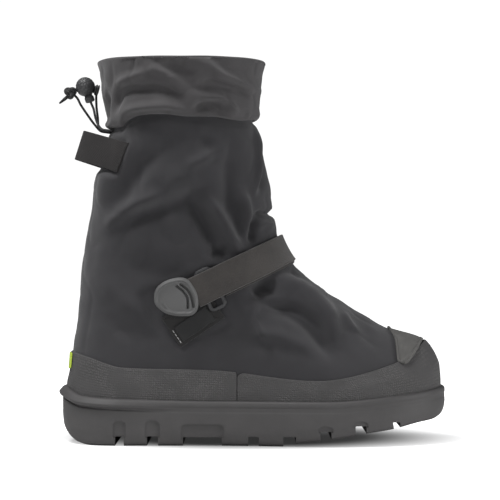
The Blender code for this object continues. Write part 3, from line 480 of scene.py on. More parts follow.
def soft_noise(points, size, seed):
    """Smooth unevenness between -1 and 1 with lumps of this size."""
    flat = points.reshape(-1, 3) / size + seed
    return np.array([noise.noise(Vector(p)) for p in flat]).reshape(points.shape[:-1])


def with_lumps(height, points, lumps):
    """Height with the unevenness of the cloth added."""
    for depth, size, seed in lumps:
        height = height + depth * soft_noise(points, size, seed)
    return height


def wrinkles(points, look):
    """Depth of narrow wrinkles that wander over the cloth."""
    depth, size, seed = look
    return depth * (1 - np.abs(soft_noise(points, size, seed))) ** WRINKLE_SHARPNESS


def shaft_relief(points):
    """Height of the shell's cloth over the smooth surface, and flat where a sewn piece holds it."""
    depth = bpy.context.scene.overshoe.fold_depth
    along, across = strap_axes(points)
    under_strap = (1 - smooth(*STRAP_HOLD, np.abs(across))) * smooth(*STRAP_HOLD_START, along)
    under_grip = (1 - smooth(*GRIP_HOLD, np.abs(across - 1))) * smooth(*GRIP_HOLD_START, along)
    under_grip = under_grip * (along < GRIP_HOLD_END)
    half = WEBBING_WIDTH / 2
    under_loop = hold_box(points, LOOP_START, -LOOP_SLANT, LOOP_HOLD, (-half, half), LOOP_FADE)
    length, half = ANCHOR_SIZE[0], ANCHOR_SIZE[1] / 2
    under_patch = hold_box(points, ANCHOR_EDGE, ANCHOR_ANGLE, (0.0, length), (-half, half), PATCH_FADE)
    inner = points[..., 1] > middle_y(points[..., 0])
    under_patch = np.where(inner, 0.0, under_patch)
    under_toe = smooth(*TOE_HOLD, points[..., 0])
    held = np.max([under_strap, under_grip, under_loop, under_patch, under_toe], axis=0)
    height = fold_height(points, SHAFT_FOLDS) * SHAFT_GAIN
    slanting = points @ np.array(WRINKLE_AXES)
    height = with_lumps(height, points, SHAFT_LUMPS)
    height = height - wrinkles(slanting, SHAFT_WRINKLES) + 0.2
    height = height * depth
    x, z = points[..., 0], points[..., 2]
    low = smooth(*CREASES_FROM, z + CREASES_TOE * smooth(*CREASES_TOE_X, x))
    hem = line_curve(HEM_LINE, x)
    pinch = np.exp(-(((z - hem + 1.0) / PINCH_HEIGHT) ** 2))
    high = 1 - smooth(hem - 6, hem + 4, z)
    tucked = TUCK_DEPTH * smooth(hem + 1.0, hem + 9.0, z)
    creases = height * (1 - held) * low * high
    return creases - PINCH_DEPTH * pinch - HELD_DEPTH * held - tucked


def mesh_object(name, points, faces, uv=None):
    """Smooth shaded object from millimetre points, with one uv pair for each face corner."""
    flat = np.asarray(points, float).reshape(-1, 3) - (HEEL_LUG_X, 0.0, 0.0)
    mesh = bpy.data.meshes.new(name)
    mesh.from_pydata((flat * MM).tolist(), [], [list(map(int, face)) for face in faces])
    if uv is not None:
        layer = mesh.uv_layers.new(name="UVMap")
        layer.data.foreach_set("uv", np.asarray(uv, float).ravel())
    mesh.shade_smooth()
    body = bpy.data.objects.new(name, mesh)
    bpy.context.scene.collection.objects.link(body)
    return body


def grid_faces(rows, columns, closed):
    index = np.arange(rows * columns).reshape(rows, columns)
    right = np.roll(index, -1, axis=1)
    faces = np.stack([index[:-1], right[:-1], right[1:], index[1:]], -1)
    return (faces if closed else faces[:, :-1]).reshape(-1, 4)


def grid_uv(points, closed):
    """Uv in metres for each corner of a grid: along the middle row and up the middle column."""
    rows, columns = points.shape[:2]
    row = points[rows // 2]
    if closed:
        row = np.concatenate([row, row[:1]])
    u, v = running_lengths(row) * MM, running_lengths(points[:, columns // 4]) * MM
    wide = columns if closed else columns - 1
    r, c = np.meshgrid(np.arange(rows - 1), np.arange(wide), indexing="ij")
    corners = [(c, r), (c + 1, r), (c + 1, r + 1), (c, r + 1)]
    return np.stack([np.stack([u[a], v[b]], -1) for a, b in corners], -2).reshape(-1, 2)


def grid_piece(name, points, closed=False):
    points = np.asarray(points, float)
    rows, columns = points.shape[:2]
    return mesh_object(name, points, grid_faces(rows, columns, closed), grid_uv(points, closed))


def finish_piece(body, material, *nodes):
    """Gives a piece its material and its body, and hides the CAD nodes that it stands for."""
    body.data.materials.clear()
    body.data.materials.append(material)
    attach(body, "root")
    if nodes:
        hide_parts(*nodes)
    return body


def rounded_outline(corners, arc_steps=8, straight_step=1.5):
    """Outline from corners with radii, with points along its straight runs as well."""
    outline = []
    count = len(corners)
    for i, (x, z, radius) in enumerate(corners):
        here = Vector((x, z))
        if radius == 0:
            outline.append(here)
            continue
        back = (Vector(corners[i - 1][:2]) - here).normalized()
        ahead = (Vector(corners[(i + 1) % count][:2]) - here).normalized()
        half_angle = back.angle(ahead) / 2
        cut = radius / math.tan(half_angle)
        centre = here + (back + ahead).normalized() * (radius / math.sin(half_angle))
        start = here + back * cut - centre
        sweep = start.angle_signed(here + ahead * cut - centre)
        for step in range(arc_steps + 1):
            angle = -sweep * step / arc_steps
            outline.append(centre + Vector((
                start.x * math.cos(angle) - start.y * math.sin(angle),
                start.x * math.sin(angle) + start.y * math.cos(angle),
            )))
    points = []
    for i, here in enumerate(outline):
        following = outline[(i + 1) % len(outline)]
        steps = max(1, round((following - here).length / straight_step))
        points += [here.lerp(following, k / steps) for k in range(steps)]
    return np.array([(p.x, p.y) for p in points])


def smooth_outline(corners, step):
    """Closed smooth outline through its points."""
    corners = np.array(corners, float)
    wrapped = np.concatenate([corners[-3:], corners, corners[:4]])
    lengths = np.concatenate([[0], np.cumsum(np.hypot(*np.diff(wrapped, axis=0).T))])
    start, end = lengths[3], lengths[3 + len(corners)]
    at = np.linspace(start, end, int((end - start) / step), endpoint=False)
    before = np.clip(np.searchsorted(lengths, at, side="right") - 1, 1, len(lengths) - 3)
    u = ((at - lengths[before]) / (lengths[before + 1] - lengths[before]))[:, None]
    a, b, c, d = (wrapped[before + k] for k in (-1, 0, 1, 2))
    square, cube = a - 2.5 * b + 2 * c - d / 2, 1.5 * (b - c) + (d - a) / 2
    return b + u * (c - a) / 2 + u * u * square + u ** 3 * cube


def slanted(start, angle, along, across):
    cos, sin = math.cos(angle), math.sin(angle)
    return start[0] + along * cos - across * sin, start[1] + along * sin + across * cos


def slanted_corners(start, angle, corners):
    return [(*slanted(start, angle, a, b), r) for a, b, r in corners]


def box_corners(low, high, radius):
    spots = ((low[0], low[1]), (high[0], low[1]), (high[0], high[1]), (low[0], high[1]))
    return tuple((*spot, radius) for spot in spots)


def patch(name, level, turn, rim, rows, out, relief=None):
    """Patch on the upper inside an outline of levels and turns.

    The rim gives pairs of inset and height from the edge inward. Relief adds height by side view point.
    """
    level, turn = np.asarray(level, float), np.asarray(turn, float)
    point, normal = surface_frame(level, turn)
    tangent = unit(np.roll(point, -1, axis=0) - np.roll(point, 1, axis=0))
    inward = unit(np.cross(normal, tangent))
    middle = point.mean(axis=0)
    if np.sum((middle - point) * inward) < 0:
        inward = -inward
    step_level = (surface(level + 0.01, turn) - surface(level - 0.01, turn)) / 0.02
    step_turn = (surface(level, turn + 0.0005) - surface(level, turn - 0.0005)) / 0.001
    a = np.sum(step_level * step_level, -1)
    b = np.sum(step_level * step_turn, -1)
    c = np.sum(step_turn * step_turn, -1)
    p, q = np.sum(step_level * inward, -1), np.sum(step_turn * inward, -1)
    fall = a * c - b * b
    to_level, to_turn = (c * p - b * q) / fall, (a * q - b * p) / fall
    rings = [(level + to_level * inset, turn + to_turn * inset, height) for inset, height in rim]
    last_level, last_turn, last_height = rings[-1]
    centre_level, centre_turn = last_level.mean(), last_turn.mean()
    for k in range(1, rows):
        share = k / rows
        rings.append((
            last_level + (centre_level - last_level) * share,
            last_turn + (centre_turn - last_turn) * share, last_height,
        ))
    rings.append((
        centre_level + (last_level - centre_level) * 0.02,
        centre_turn + (last_turn - centre_turn) * 0.02, last_height,
    ))
    levels, turns = np.array([r[0] for r in rings]), np.array([r[1] for r in rings])
    heights = np.array([r[2] for r in rings])[:, None] * np.ones(len(level))
    point, normal = surface_frame(levels, turns)
    if relief is not None:
        heights = heights + relief(point) * smooth(0, 0.2, heights)
    base = out(point) if callable(out) else out
    points = point + normal * (base + heights)[..., None]
    rows_count, count = levels.shape
    faces = grid_faces(rows_count, count, True)
    flat_uv = point[..., (0, 2)].reshape(-1, 2) * MM
    uv = flat_uv[faces.ravel()]
    cap = list(range((rows_count - 1) * count, rows_count * count))
    body_faces = [list(face) for face in faces] + [cap]
    uv = np.concatenate([uv, flat_uv[cap]])
    body = mesh_object(name, points, body_faces, uv)
    face_out(body)
    return body


def side_patch(name, outline, *settings, **more):
    """Patch on the outer side inside an outline given in the side view."""
    level, turn = locate(outline[:, 0], outline[:, 1], OUTER)
    return patch(name, level, turn, *settings, **more)


def face_out(body):
    """Turns a piece's faces outward."""
    bm = bmesh.new()
    bm.from_mesh(body.data)
    bmesh.ops.recalc_face_normals(bm, faces=bm.faces)
    bm.to_mesh(body.data)
    bm.free()


def edge_round(distance, radius, thickness):
    """Height of a sheet's face at a distance from its edge, for an edge rounded over this radius."""
    left = np.clip(1 - distance / radius, 0.0, 1.0)
    return thickness * np.sqrt(1 - left * left)


def edge_steps(count, edge, total):
    """Places across a sheet, closer together near both edges."""
    near = np.array([0.0, 0.12, 0.35, 0.7, 1.0]) * edge
    inside = np.linspace(edge, total - edge, count)[1:-1]
    return np.concatenate([near, inside, total - near[::-1]])


def tube(name, path, radii, sides=14, ends=True):
    """Round tube along a path, with its own uv in metres."""
    path = np.asarray(path, float)
    radii = np.broadcast_to(np.asarray(radii, float), (len(path),))
    ahead = unit(np.gradient(path, axis=0))
    normal = unit(np.cross(ahead[0], (0.3, 1.0, 0.2)))
    rings = []
    for k, direction in enumerate(ahead):
        normal = unit(normal - direction * (normal @ direction))
        binormal = np.cross(direction, normal)
        angle = np.linspace(0, 2 * math.pi, sides, endpoint=False)
        ring = path[k] + radii[k] * (np.cos(angle)[:, None] * normal + np.sin(angle)[:, None] * binormal)
        rings.append(ring)
    points = np.array(rings)
    faces = [list(f) for f in grid_faces(len(path), sides, True)]
    uv = grid_uv(points, True)
    if ends:
        for cap in (list(range(sides))[::-1], list(range((len(path) - 1) * sides, len(path) * sides))):
            faces.append(cap)
            uv = np.concatenate([uv, np.zeros((sides, 2))])
    body = mesh_object(name, points, faces, uv)
    face_out(body)
    return body


def smooth_route(route, count):
    """Points at even steps on a smooth curve through a cord's route."""
    route = np.array(route, float)
    lengths = running_lengths(route)
    at = np.linspace(0, lengths[-1], count)
    return np.stack([curve(lengths, route[:, k], at) for k in range(3)], -1)


def stitch_rows(name, lines, length=2.3, pitch=3.1, radius=0.24):
    """Row of short raised stitches along lines of points with normals."""
    shape = []
    for k, size in ((-1.0, 0.15), (-0.75, 0.75), (0.0, 1.0), (0.75, 0.75), (1.0, 0.15)):
        for a in range(6):
            angle = 2 * math.pi * a / 6
            across = radius * size
            shape.append((k * length / 2, math.cos(angle) * across, math.sin(angle) * across))
    shape = np.array(shape)
    ring_faces = grid_faces(5, 6, True)
    points, faces = [], []
    for line, normals in lines:
        lengths = running_lengths(line)
        count = int(lengths[-1] / pitch)
        for k in range(count):
            at = (k + 0.5) * lengths[-1] / count
            place = np.array([np.interp(at, lengths, line[:, i]) for i in range(3)])
            ahead = unit(np.array([
                np.interp(at + 0.4, lengths, line[:, i]) - np.interp(at - 0.4, lengths, line[:, i])
                for i in range(3)
            ]))
            up = unit(np.array([np.interp(at, lengths, normals[:, i]) for i in range(3)]))
            side = unit(np.cross(up, ahead))
            up = np.cross(ahead, side)
            start = len(points) * len(shape)
            points.append(place + shape[:, :1] * ahead + shape[:, 1:2] * side + shape[:, 2:] * up)
            faces += [list(face + start) for face in ring_faces]
    return mesh_object(name, np.concatenate(points), faces)


def lathe(name, profile, start, axis, sides=48):
    """Turned piece: profile of radius and length along an axis from a start point."""
    axis = unit(np.array(axis, float))
    side = unit(np.cross(axis, (0.2, 1.0, 0.1)))
    other = np.cross(axis, side)
    angle = np.linspace(0, 2 * math.pi, sides, endpoint=False)
    ring = np.cos(angle)[:, None] * side + np.sin(angle)[:, None] * other
    points = np.array([np.array(start) + axis * along + ring * radius for radius, along in profile])
    body = grid_piece(name, points, closed=True)
    face_out(body)
    return body


def add(tree, kind, inputs=None, **settings):
    """Node with its settings, its plain values and its links."""
    node = tree.nodes.new(kind)
    for key, value in settings.items():
        setattr(node, key, value)
    for key, value in (inputs or {}).items():
        if isinstance(value, bpy.types.NodeSocket):
            tree.links.new(value, node.inputs[key])
        else:
            node.inputs[key].default_value = value
    return node


def math_node(tree, operation, *values):
    node = tree.nodes.new("ShaderNodeMath")
    node.operation = operation
    for i, value in enumerate(values):
        if isinstance(value, bpy.types.NodeSocket):
            tree.links.new(value, node.inputs[i])
        else:
            node.inputs[i].default_value = value
    return node.outputs[0]


def new_group(name, inputs, outputs):
    """Empty shader group with named float inputs and outputs."""
    tree = bpy.data.node_groups.new(name, "ShaderNodeTree")
    for label, default in inputs:
        socket = tree.interface.new_socket(name=label, in_out="INPUT", socket_type="NodeSocketFloat")
        socket.default_value = default
    for label in outputs:
        tree.interface.new_socket(name=label, in_out="OUTPUT", socket_type="NodeSocketFloat")
    return tree, tree.nodes.new("NodeGroupInput"), tree.nodes.new("NodeGroupOutput")


def weave_group():
    """Over and under of crossing threads, and the unevenness of the yarn."""
    tree, given, result = new_group("woven_threads", [("Threads", 1500.0)], ["Height", "Yarn"])
    where = add(tree, "ShaderNodeTexCoord").outputs["UV"]
    scaled = add(
        tree, "ShaderNodeVectorMath", {0: where, "Scale": given.outputs["Threads"]}, operation="SCALE"
    )
    axes = add(tree, "ShaderNodeSeparateXYZ", {0: scaled.outputs[0]})
    waves = [
        math_node(tree, "SINE", math_node(tree, "MULTIPLY", axes.outputs[k], 2 * math.pi)) for k in (0, 1)
    ]
    crossing = math_node(tree, "MULTIPLY", *waves)
    tree.links.new(math_node(tree, "MULTIPLY_ADD", crossing, 0.5, 0.5), result.inputs["Height"])
    yarn = add(tree, "ShaderNodeTexNoise", {"Vector": scaled.outputs[0], "Scale": 0.35, "Detail": 3.0})
    tree.links.new(yarn.outputs["Fac"], result.inputs["Yarn"])
    return tree


def mottle_group():
    """Slow changes of shade over a surface."""
    tree, given, result = new_group("mottled_shade", [("Scale", 20.0), ("Contrast", 1.0)], ["Shade"])
    where = add(tree, "ShaderNodeTexCoord").outputs["Object"]
    cloud = add(tree, "ShaderNodeTexNoise", {
        "Vector": where, "Scale": given.outputs["Scale"], "Detail": 4.0, "Roughness": 0.55,
    })
    centred = math_node(tree, "SUBTRACT", cloud.outputs["Fac"], 0.5)
    spread = math_node(tree, "MULTIPLY_ADD", centred, given.outputs["Contrast"], 0.5)
    tree.links.new(spread, result.inputs["Shade"])
    return tree


def dust_group():
    """Pale dust that gathers low on the shoe."""
    tree, given, result = new_group("low_dust", [("Top", 0.06), ("Amount", 0.3)], ["Mask"])
    where = add(tree, "ShaderNodeTexCoord").outputs["Object"]
    height = add(tree, "ShaderNodeSeparateXYZ", {0: where}).outputs["Z"]
    low = math_node(tree, "SUBTRACT", 1.0, math_node(tree, "DIVIDE", height, given.outputs["Top"]))
    cloud = add(tree, "ShaderNodeTexNoise", {
        "Vector": where, "Scale": 60.0, "Detail": 6.0, "Roughness": 0.7,
    })
    patchy = math_node(tree, "MULTIPLY", low, cloud.outputs["Fac"])
    node = add(tree, "ShaderNodeClamp", {0: math_node(tree, "MULTIPLY", patchy, given.outputs["Amount"])})
    tree.links.new(node.outputs[0], result.inputs["Mask"])
    return tree


def stipple_group():
    """Fine raised dots that show in patches."""
    tree, given, result = new_group("stippled_dots", [("Dots", 900.0)], ["Height", "Patches"])
    where = add(tree, "ShaderNodeTexCoord")
    scaled = add(tree, "ShaderNodeVectorMath", {
        0: where.outputs["UV"], "Scale": given.outputs["Dots"],
    }, operation="SCALE")
    cells = add(tree, "ShaderNodeTexVoronoi", {
        "Vector": scaled.outputs[0], "Scale": 1.0, "Randomness": 0.35,
    })
    dot = add(tree, "ShaderNodeMapRange", {
        "Value": cells.outputs["Distance"], "From Min": 0.2, "From Max": 0.55,
        "To Min": 1.0, "To Max": 0.0,
    })
    cloud = add(tree, "ShaderNodeTexNoise", {
        "Vector": where.outputs["Object"], "Scale": 55.0, "Detail": 2.0,
    })
    shown = add(tree, "ShaderNodeMapRange", {
        "Value": cloud.outputs["Fac"], "From Min": 0.4, "From Max": 0.6,
    })
    tree.links.new(dot.outputs[0], result.inputs["Height"])
    tree.links.new(shown.outputs[0], result.inputs["Patches"])
    return tree


def noise_group(name, coordinates, scale, **values):
    """Fine noise of a surface, in its uv or in the object's own coordinates."""
    tree, given, result = new_group(name, [("Scale", scale)], ["Noise"])
    where = add(tree, "ShaderNodeTexCoord").outputs[coordinates]
    fine = add(tree, "ShaderNodeTexNoise", {"Vector": where, "Scale": given.outputs["Scale"], **values})
    tree.links.new(fine.outputs["Fac"], result.inputs["Noise"])
    return tree


GROUPS = {}


def group_node(tree, name, **values):
    if not GROUPS:
        GROUPS.update(
            weave=weave_group(), mottle=mottle_group(), dust=dust_group(), stipple=stipple_group(),
            tangle=noise_group("tangled_pile", "UV", 560.0, Detail=5.0, Roughness=0.75, Distortion=1.5),
            grain=noise_group("fine_grain", "Object", 1400.0, Detail=3.0),
            scuffs=noise_group("faint_scuffs", "Object", 500.0, Detail=6.0, Distortion=2.0),
        )
    node = tree.nodes.new("ShaderNodeGroup")
    node.node_tree = GROUPS[name]
    for key, value in values.items():
        node.inputs[key].default_value = value
    return node


def start_material(name, roughness, **constants):
    """Material with its shader, whose even values are set on its own sockets."""
    material = bpy.data.materials.new(name)
    material.use_nodes = True
    tree = material.node_tree
    shader = tree.nodes["Principled BSDF"]
    shader.inputs["Roughness"].default_value = roughness
    for key, value in constants.items():
        shader.inputs[key.replace("_", " ")].default_value = value
    return material, tree, shader


def shade_mix(tree, colour, shade, low, high):
    """Colour that runs from a darker to a lighter value of itself with a shade."""
    dark = (*[c * low for c in colour], 1.0)
    light = (*[min(1.0, c * high) for c in colour], 1.0)
    node = tree.nodes.new("ShaderNodeMix")
    node.data_type = "RGBA"
    tree.links.new(shade, node.inputs[0])
    node.inputs[6].default_value = dark
    node.inputs[7].default_value = light
    return node.outputs[2]


def over_colour(tree, below, colour, mask):
    node = tree.nodes.new("ShaderNodeMix")
    node.data_type = "RGBA"
    tree.links.new(mask, node.inputs[0])
    tree.links.new(below, node.inputs[6])
    node.inputs[7].default_value = (*colour, 1.0)
    return node.outputs[2]


def bump(tree, shader, height, distance, strength=1.0):
    node = add(tree, "ShaderNodeBump", {"Height": height, "Distance": distance, "Strength": strength})
    tree.links.new(node.outputs["Normal"], shader.inputs["Normal"])


def blend(tree, first, share, second):
    """Two shades mixed, with this share of the first."""
    rest = math_node(tree, "MULTIPLY", second, 1 - share)
    return math_node(tree, "MULTIPLY_ADD", first, share, rest)


def dusted(tree, colour, tint, top, amount):
    """Colour with dust that gathers low on the shoe."""
    layer = group_node(tree, "dust", Top=top, Amount=amount)
    return over_colour(tree, colour, tint, layer.outputs["Mask"])


def link_surface(tree, shader, colour, uneven, rough_gain, rough_base, height, relief):
    """Links the colour, the roughness that follows an uneven value, and the relief to the shader."""
    tree.links.new(colour, shader.inputs["Base Color"])
    rough = math_node(tree, "MULTIPLY_ADD", uneven, rough_gain, rough_base)
    tree.links.new(rough, shader.inputs["Roughness"])
    bump(tree, shader, height, relief)


CLOTH_DUST, RUBBER_DUST = (0.16, 0.155, 0.15), (0.2, 0.195, 0.19)


def cloth(name, colour, threads, relief, roughness=0.86, sheen=0.15, gloss=0.28, dust=0.0):
    """Woven cloth or webbing: threads per metre, yarn unevenness, slow shade and some dust."""
    material, tree, shader = start_material(
        name, roughness, Sheen_Weight=sheen, Sheen_Roughness=0.6, Specular_IOR_Level=gloss
    )
    weave = group_node(tree, "weave", Threads=threads)
    mottle = group_node(tree, "mottle", Scale=28.0, Contrast=1.4)
    yarn = weave.outputs["Yarn"]
    result = shade_mix(tree, colour, blend(tree, yarn, 0.35, mottle.outputs["Shade"]), 0.72, 1.3)
    if dust:
        result = dusted(tree, result, CLOTH_DUST, 0.12, dust)
    height = math_node(tree, "MULTIPLY_ADD", yarn, 0.6, weave.outputs["Height"])
    link_surface(tree, shader, result, yarn, 0.12, roughness - 0.06, height, relief)
    return material


def rubber(name, colour, roughness=0.6, dust=0.35):
    """Moulded rubber with a fine grain, slow shade and dust low down."""
    material, tree, shader = start_material(name, roughness, Specular_IOR_Level=0.4)
    fine = group_node(tree, "grain").outputs["Noise"]
    mottle = group_node(tree, "mottle", Scale=18.0, Contrast=1.6).outputs["Shade"]
    result = shade_mix(tree, colour, mottle, 0.84, 1.16)
    if dust:
        result = dusted(tree, result, RUBBER_DUST, 0.05, dust)
    link_surface(tree, shader, result, mottle, 0.16, roughness - 0.08, fine, 0.00006)
    return material


def rand_material(name, colour):
    """Rubberised band: fine stipple that shows in patches over mottled grey."""
    material, tree, shader = start_material(name, 0.74, Specular_IOR_Level=0.35)
    dots = group_node(tree, "stipple", Dots=560.0)
    mottle = group_node(tree, "mottle", Scale=34.0, Contrast=1.8)
    result = shade_mix(tree, colour, mottle.outputs["Shade"], 0.84, 1.18)
    shown = math_node(tree, "MULTIPLY", dots.outputs["Height"], dots.outputs["Patches"])
    pale = math_node(tree, "MULTIPLY", shown, 0.6)
    result = over_colour(tree, result, (0.13, 0.127, 0.125), pale)
    result = dusted(tree, result, CLOTH_DUST, 0.09, 0.3)
    low_dots = math_node(tree, "MULTIPLY", dots.outputs["Height"], 0.3)
    height = math_node(tree, "MULTIPLY_ADD", shown, 0.7, low_dots)
    link_surface(tree, shader, result, mottle.outputs["Shade"], 0.14, 0.68, height, 0.0004)
    return material


def ribbed_material(name, colour):
    """Toe patch: fine ribs across the patch, painted shade in the grooves between them and a matt grain.
    """
    material, tree, shader = start_material(name, 0.72, Specular_IOR_Level=0.35)
    where = add(tree, "ShaderNodeTexCoord").outputs["UV"]
    scaled = add(tree, "ShaderNodeVectorMath", {0: where, "Scale": 950.0}, operation="SCALE")
    x = add(tree, "ShaderNodeSeparateXYZ", {0: scaled.outputs[0]}).outputs["X"]
    rib = math_node(tree, "SINE", math_node(tree, "MULTIPLY", x, 2 * math.pi))
    mottle = group_node(tree, "mottle", Scale=90.0, Contrast=1.8)
    result = shade_mix(tree, colour, mottle.outputs["Shade"], 0.84, 1.18)
    # Painted shade: the colour darkens in the grooves between the ribs.
    groove = math_node(tree, "MULTIPLY", math_node(tree, "MULTIPLY_ADD", rib, -0.5, 0.5), 0.3)
    result = over_colour(tree, result, tuple(c * 0.45 for c in colour), groove)
    link_surface(tree, shader, result, mottle.outputs["Shade"], 0.14, 0.66, rib, 0.00012)
    return material


def pile_material(name, colour):
    """Loop pile of a hook and loop strap: tangled short loops."""
    material, tree, shader = start_material(
        name, 0.95, Sheen_Weight=0.25, Sheen_Roughness=0.7, Specular_IOR_Level=0.15
    )
    tangle = group_node(tree, "tangle").outputs["Noise"]
    mottle = group_node(tree, "mottle", Scale=60.0, Contrast=1.6)
    result = shade_mix(tree, colour, blend(tree, tangle, 0.55, mottle.outputs["Shade"]), 0.2, 1.8)
    link_surface(tree, shader, result, tangle, 0.1, 0.88, tangle, 0.0006)
    return material


def plastic(name, colour, roughness=0.42, grain=0.00004):
    """Moulded plastic with faint scuffs."""
    material, tree, shader = start_material(name, roughness, Specular_IOR_Level=0.5)
    scuffs = group_node(tree, "scuffs").outputs["Noise"]
    mottle = group_node(tree, "mottle", Scale=140.0, Contrast=1.8)
    result = shade_mix(tree, colour, blend(tree, scuffs, 0.3, mottle.outputs["Shade"]), 0.75, 1.3)
    link_surface(tree, shader, result, scuffs, 0.25, roughness - 0.12, scuffs, grain)
    return material


def cord_material(name, colour):
    """Braided cord: crossing strands that run slantwise round it, with painted shade between them and
    lighter tops.
    """
    material, tree, shader = start_material(name, 0.7, Sheen_Weight=0.2, Specular_IOR_Level=0.3)
    where = add(tree, "ShaderNodeTexCoord").outputs["UV"]
    axes = add(tree, "ShaderNodeSeparateXYZ", {0: where})
    waves = []
    for sign in (1.0, -1.0):
        slant = math_node(tree, "MULTIPLY_ADD", axes.outputs["Y"], sign, axes.outputs["X"])
        waves.append(math_node(tree, "SINE", math_node(tree, "MULTIPLY", slant, 2 * math.pi * 900.0)))
    height = math_node(tree, "MAXIMUM", *waves)
    # Painted shade and light: the colour is darker between the strands and lighter on their tops.
    shade = math_node(tree, "MULTIPLY_ADD", height, 0.4, 0.5)
    result = shade_mix(tree, colour, shade, 0.5, 1.5)
    link_surface(tree, shader, result, shade, 0.2, 0.6, height, 0.00015)
    return material


def colour_setting(name, description, default):
    return FloatVectorProperty(
        name=name, description=description, subtype="COLOR", size=3, default=default, min=0.0, max=1.0,
    )


class OvershoeSettings(bpy.types.PropertyGroup):
    fold_depth: FloatProperty(
        name="Fold depth", description="How deep the creases of the cloth are, 1 as on the shoe",
        default=1.0, min=0.0, max=2.0, subtype="FACTOR",
    )
    thread_pitch: FloatProperty(
        name="Thread pitch", description="Distance between the threads of the shell's cloth",
        default=0.0006, min=0.0002, max=0.003, unit="LENGTH", subtype="DISTANCE",
    )
    shell_colour: colour_setting("Shell", "Colour of the upper's nylon", (0.034, 0.033, 0.036))
    cuff_colour: colour_setting("Cuff", "Colour of the cuff's nylon", (0.060, 0.057, 0.059))
    rubber_colour: colour_setting("Sole", "Colour of the sole's rubber", (0.066, 0.063, 0.064))
    rand_colour: colour_setting("Band", "Colour of the rubberised band", (0.066, 0.064, 0.065))
    strap_colour: colour_setting("Strap", "Colour of the strap's pile", (0.035, 0.030, 0.027))
    grip_colour: colour_setting("Grip", "Colour of the moulded grip", (0.11, 0.11, 0.11))
    patch_colour: colour_setting("Heel patch", "Colour of the small patch at the back", (0.46, 0.60, 0.06))
    floor_colour: colour_setting("Floor", "Colour of the studio floor", (0.9, 0.9, 0.9))
    key_power: FloatProperty(
        name="Key light", description="Power of the main lamp", default=19.0, min=0.0, max=200.0,
        unit="POWER",
    )


class OVERSHOE_OT_stage(bpy.types.Operator):
    """Makes the camera, the studio light and the pale floor with a shadow painted round the shoe"""
    bl_idname = "overshoe.stage"
    bl_label = "Stage"

    def execute(self, context):
        settings = context.scene.overshoe
        scene = context.scene
        camera = bpy.data.objects.new("camera", bpy.data.cameras.new("camera"))
        camera.data.lens = CAMERA_LENS
        camera.data.sensor_width = SENSOR_WIDTH
        camera.data.clip_end = CLIP_END
        camera.location = CAMERA_PLACE
        camera.rotation_euler = (math.radians(90), 0.0, 0.0)
        scene.collection.objects.link(camera)
        scene.camera = camera
        scene.view_settings.view_transform = "Standard"
        scene.view_settings.look = "None"

        for name, place, size, share in LAMPS:
            data = bpy.data.lights.new(name, "AREA")
            data.size = size
            data.energy = settings.key_power * share
            lamp = bpy.data.objects.new(name, data)
            lamp.location = place
            lamp.rotation_euler = (Vector(LAMP_AIM) - Vector(place)).to_track_quat("-Z", "Y").to_euler()
            scene.collection.objects.link(lamp)

        world = bpy.data.worlds.new("studio")
        scene.world = world
        world.use_nodes = True
        tree = world.node_tree
        tree.nodes.clear()
        seen = add(tree, "ShaderNodeBackground", {"Color": (1.0, 1.0, 1.0, 1.0), "Strength": SKY_SEEN})
        lighting = add(tree, "ShaderNodeBackground", {
            "Color": (0.97, 0.985, 1.0, 1.0), "Strength": SKY_LIGHTING,
        })
        path = add(tree, "ShaderNodeLightPath")
        mix = add(tree, "ShaderNodeMixShader", {
            0: path.outputs["Is Camera Ray"], 1: lighting.outputs[0], 2: seen.outputs[0],
        })
        add(tree, "ShaderNodeOutputWorld", {"Surface": mix.outputs[0]})

        mesh = bpy.data.meshes.new("floor")
        bm = bmesh.new()
        bmesh.ops.create_grid(bm, x_segments=24, y_segments=24, size=FLOOR_SIZE)
        bm.to_mesh(mesh)
        bm.free()
        floor = bpy.data.objects.new("floor", mesh)
        floor.location = (FLOOR_X, 0.0, 0.0)
        scene.collection.objects.link(floor)
        material, tree, shader = start_material("floor", 0.9, Specular_IOR_Level=0.1)
        mottle = group_node(tree, "mottle", Scale=3.0, Contrast=0.5)
        colour = shade_mix(tree, tuple(settings.floor_colour), mottle.outputs["Shade"], 0.985, 1.01)
        where = add(tree, "ShaderNodeTexCoord").outputs["Object"]
        near = add(tree, "ShaderNodeMapping", {
            "Vector": where, "Location": PAINTED_SHADOW_SHIFT, "Scale": PAINTED_SHADOW_SCALE,
        })
        reach = add(tree, "ShaderNodeVectorMath", {0: near.outputs[0]}, operation="LENGTH")
        away = add(tree, "ShaderNodeMapRange", {
            "Value": reach.outputs["Value"], "From Min": PAINTED_SHADOW_FROM, "From Max": PAINTED_SHADOW_TO,
            "To Min": 0.03, "To Max": 1.0,
        }, interpolation_type="SMOOTHSTEP")
        # Painted shadow: near the shoe the floor's colour darkens towards dark grey, following the mask
        # away.
        under = math_node(
            tree, "MULTIPLY", math_node(tree, "SUBTRACT", 1.0, away.outputs[0]), PAINTED_SHADOW_STRENGTH
        )
        tree.links.new(over_colour(tree, colour, (0.04, 0.04, 0.04), under), shader.inputs["Base Color"])
        # The floor glows for camera rays only. It is evenly white far off and has the painted shadow near
        # the shoe.
        glow = add(tree, "ShaderNodeEmission", {"Color": away.outputs[0]})
        seen = add(tree, "ShaderNodeLightPath").outputs["Is Camera Ray"]
        none = add(tree, "ShaderNodeEmission", {"Strength": 0.0})
        mix = add(tree, "ShaderNodeMixShader", {0: seen, 1: none.outputs[0], 2: glow.outputs[0]})
        both = add(tree, "ShaderNodeAddShader", {0: shader.outputs[0], 1: mix.outputs[0]})
        tree.links.new(both.outputs[0], tree.nodes["Material Output"].inputs["Surface"])
        mesh.materials.append(material)
        return {"FINISHED"}


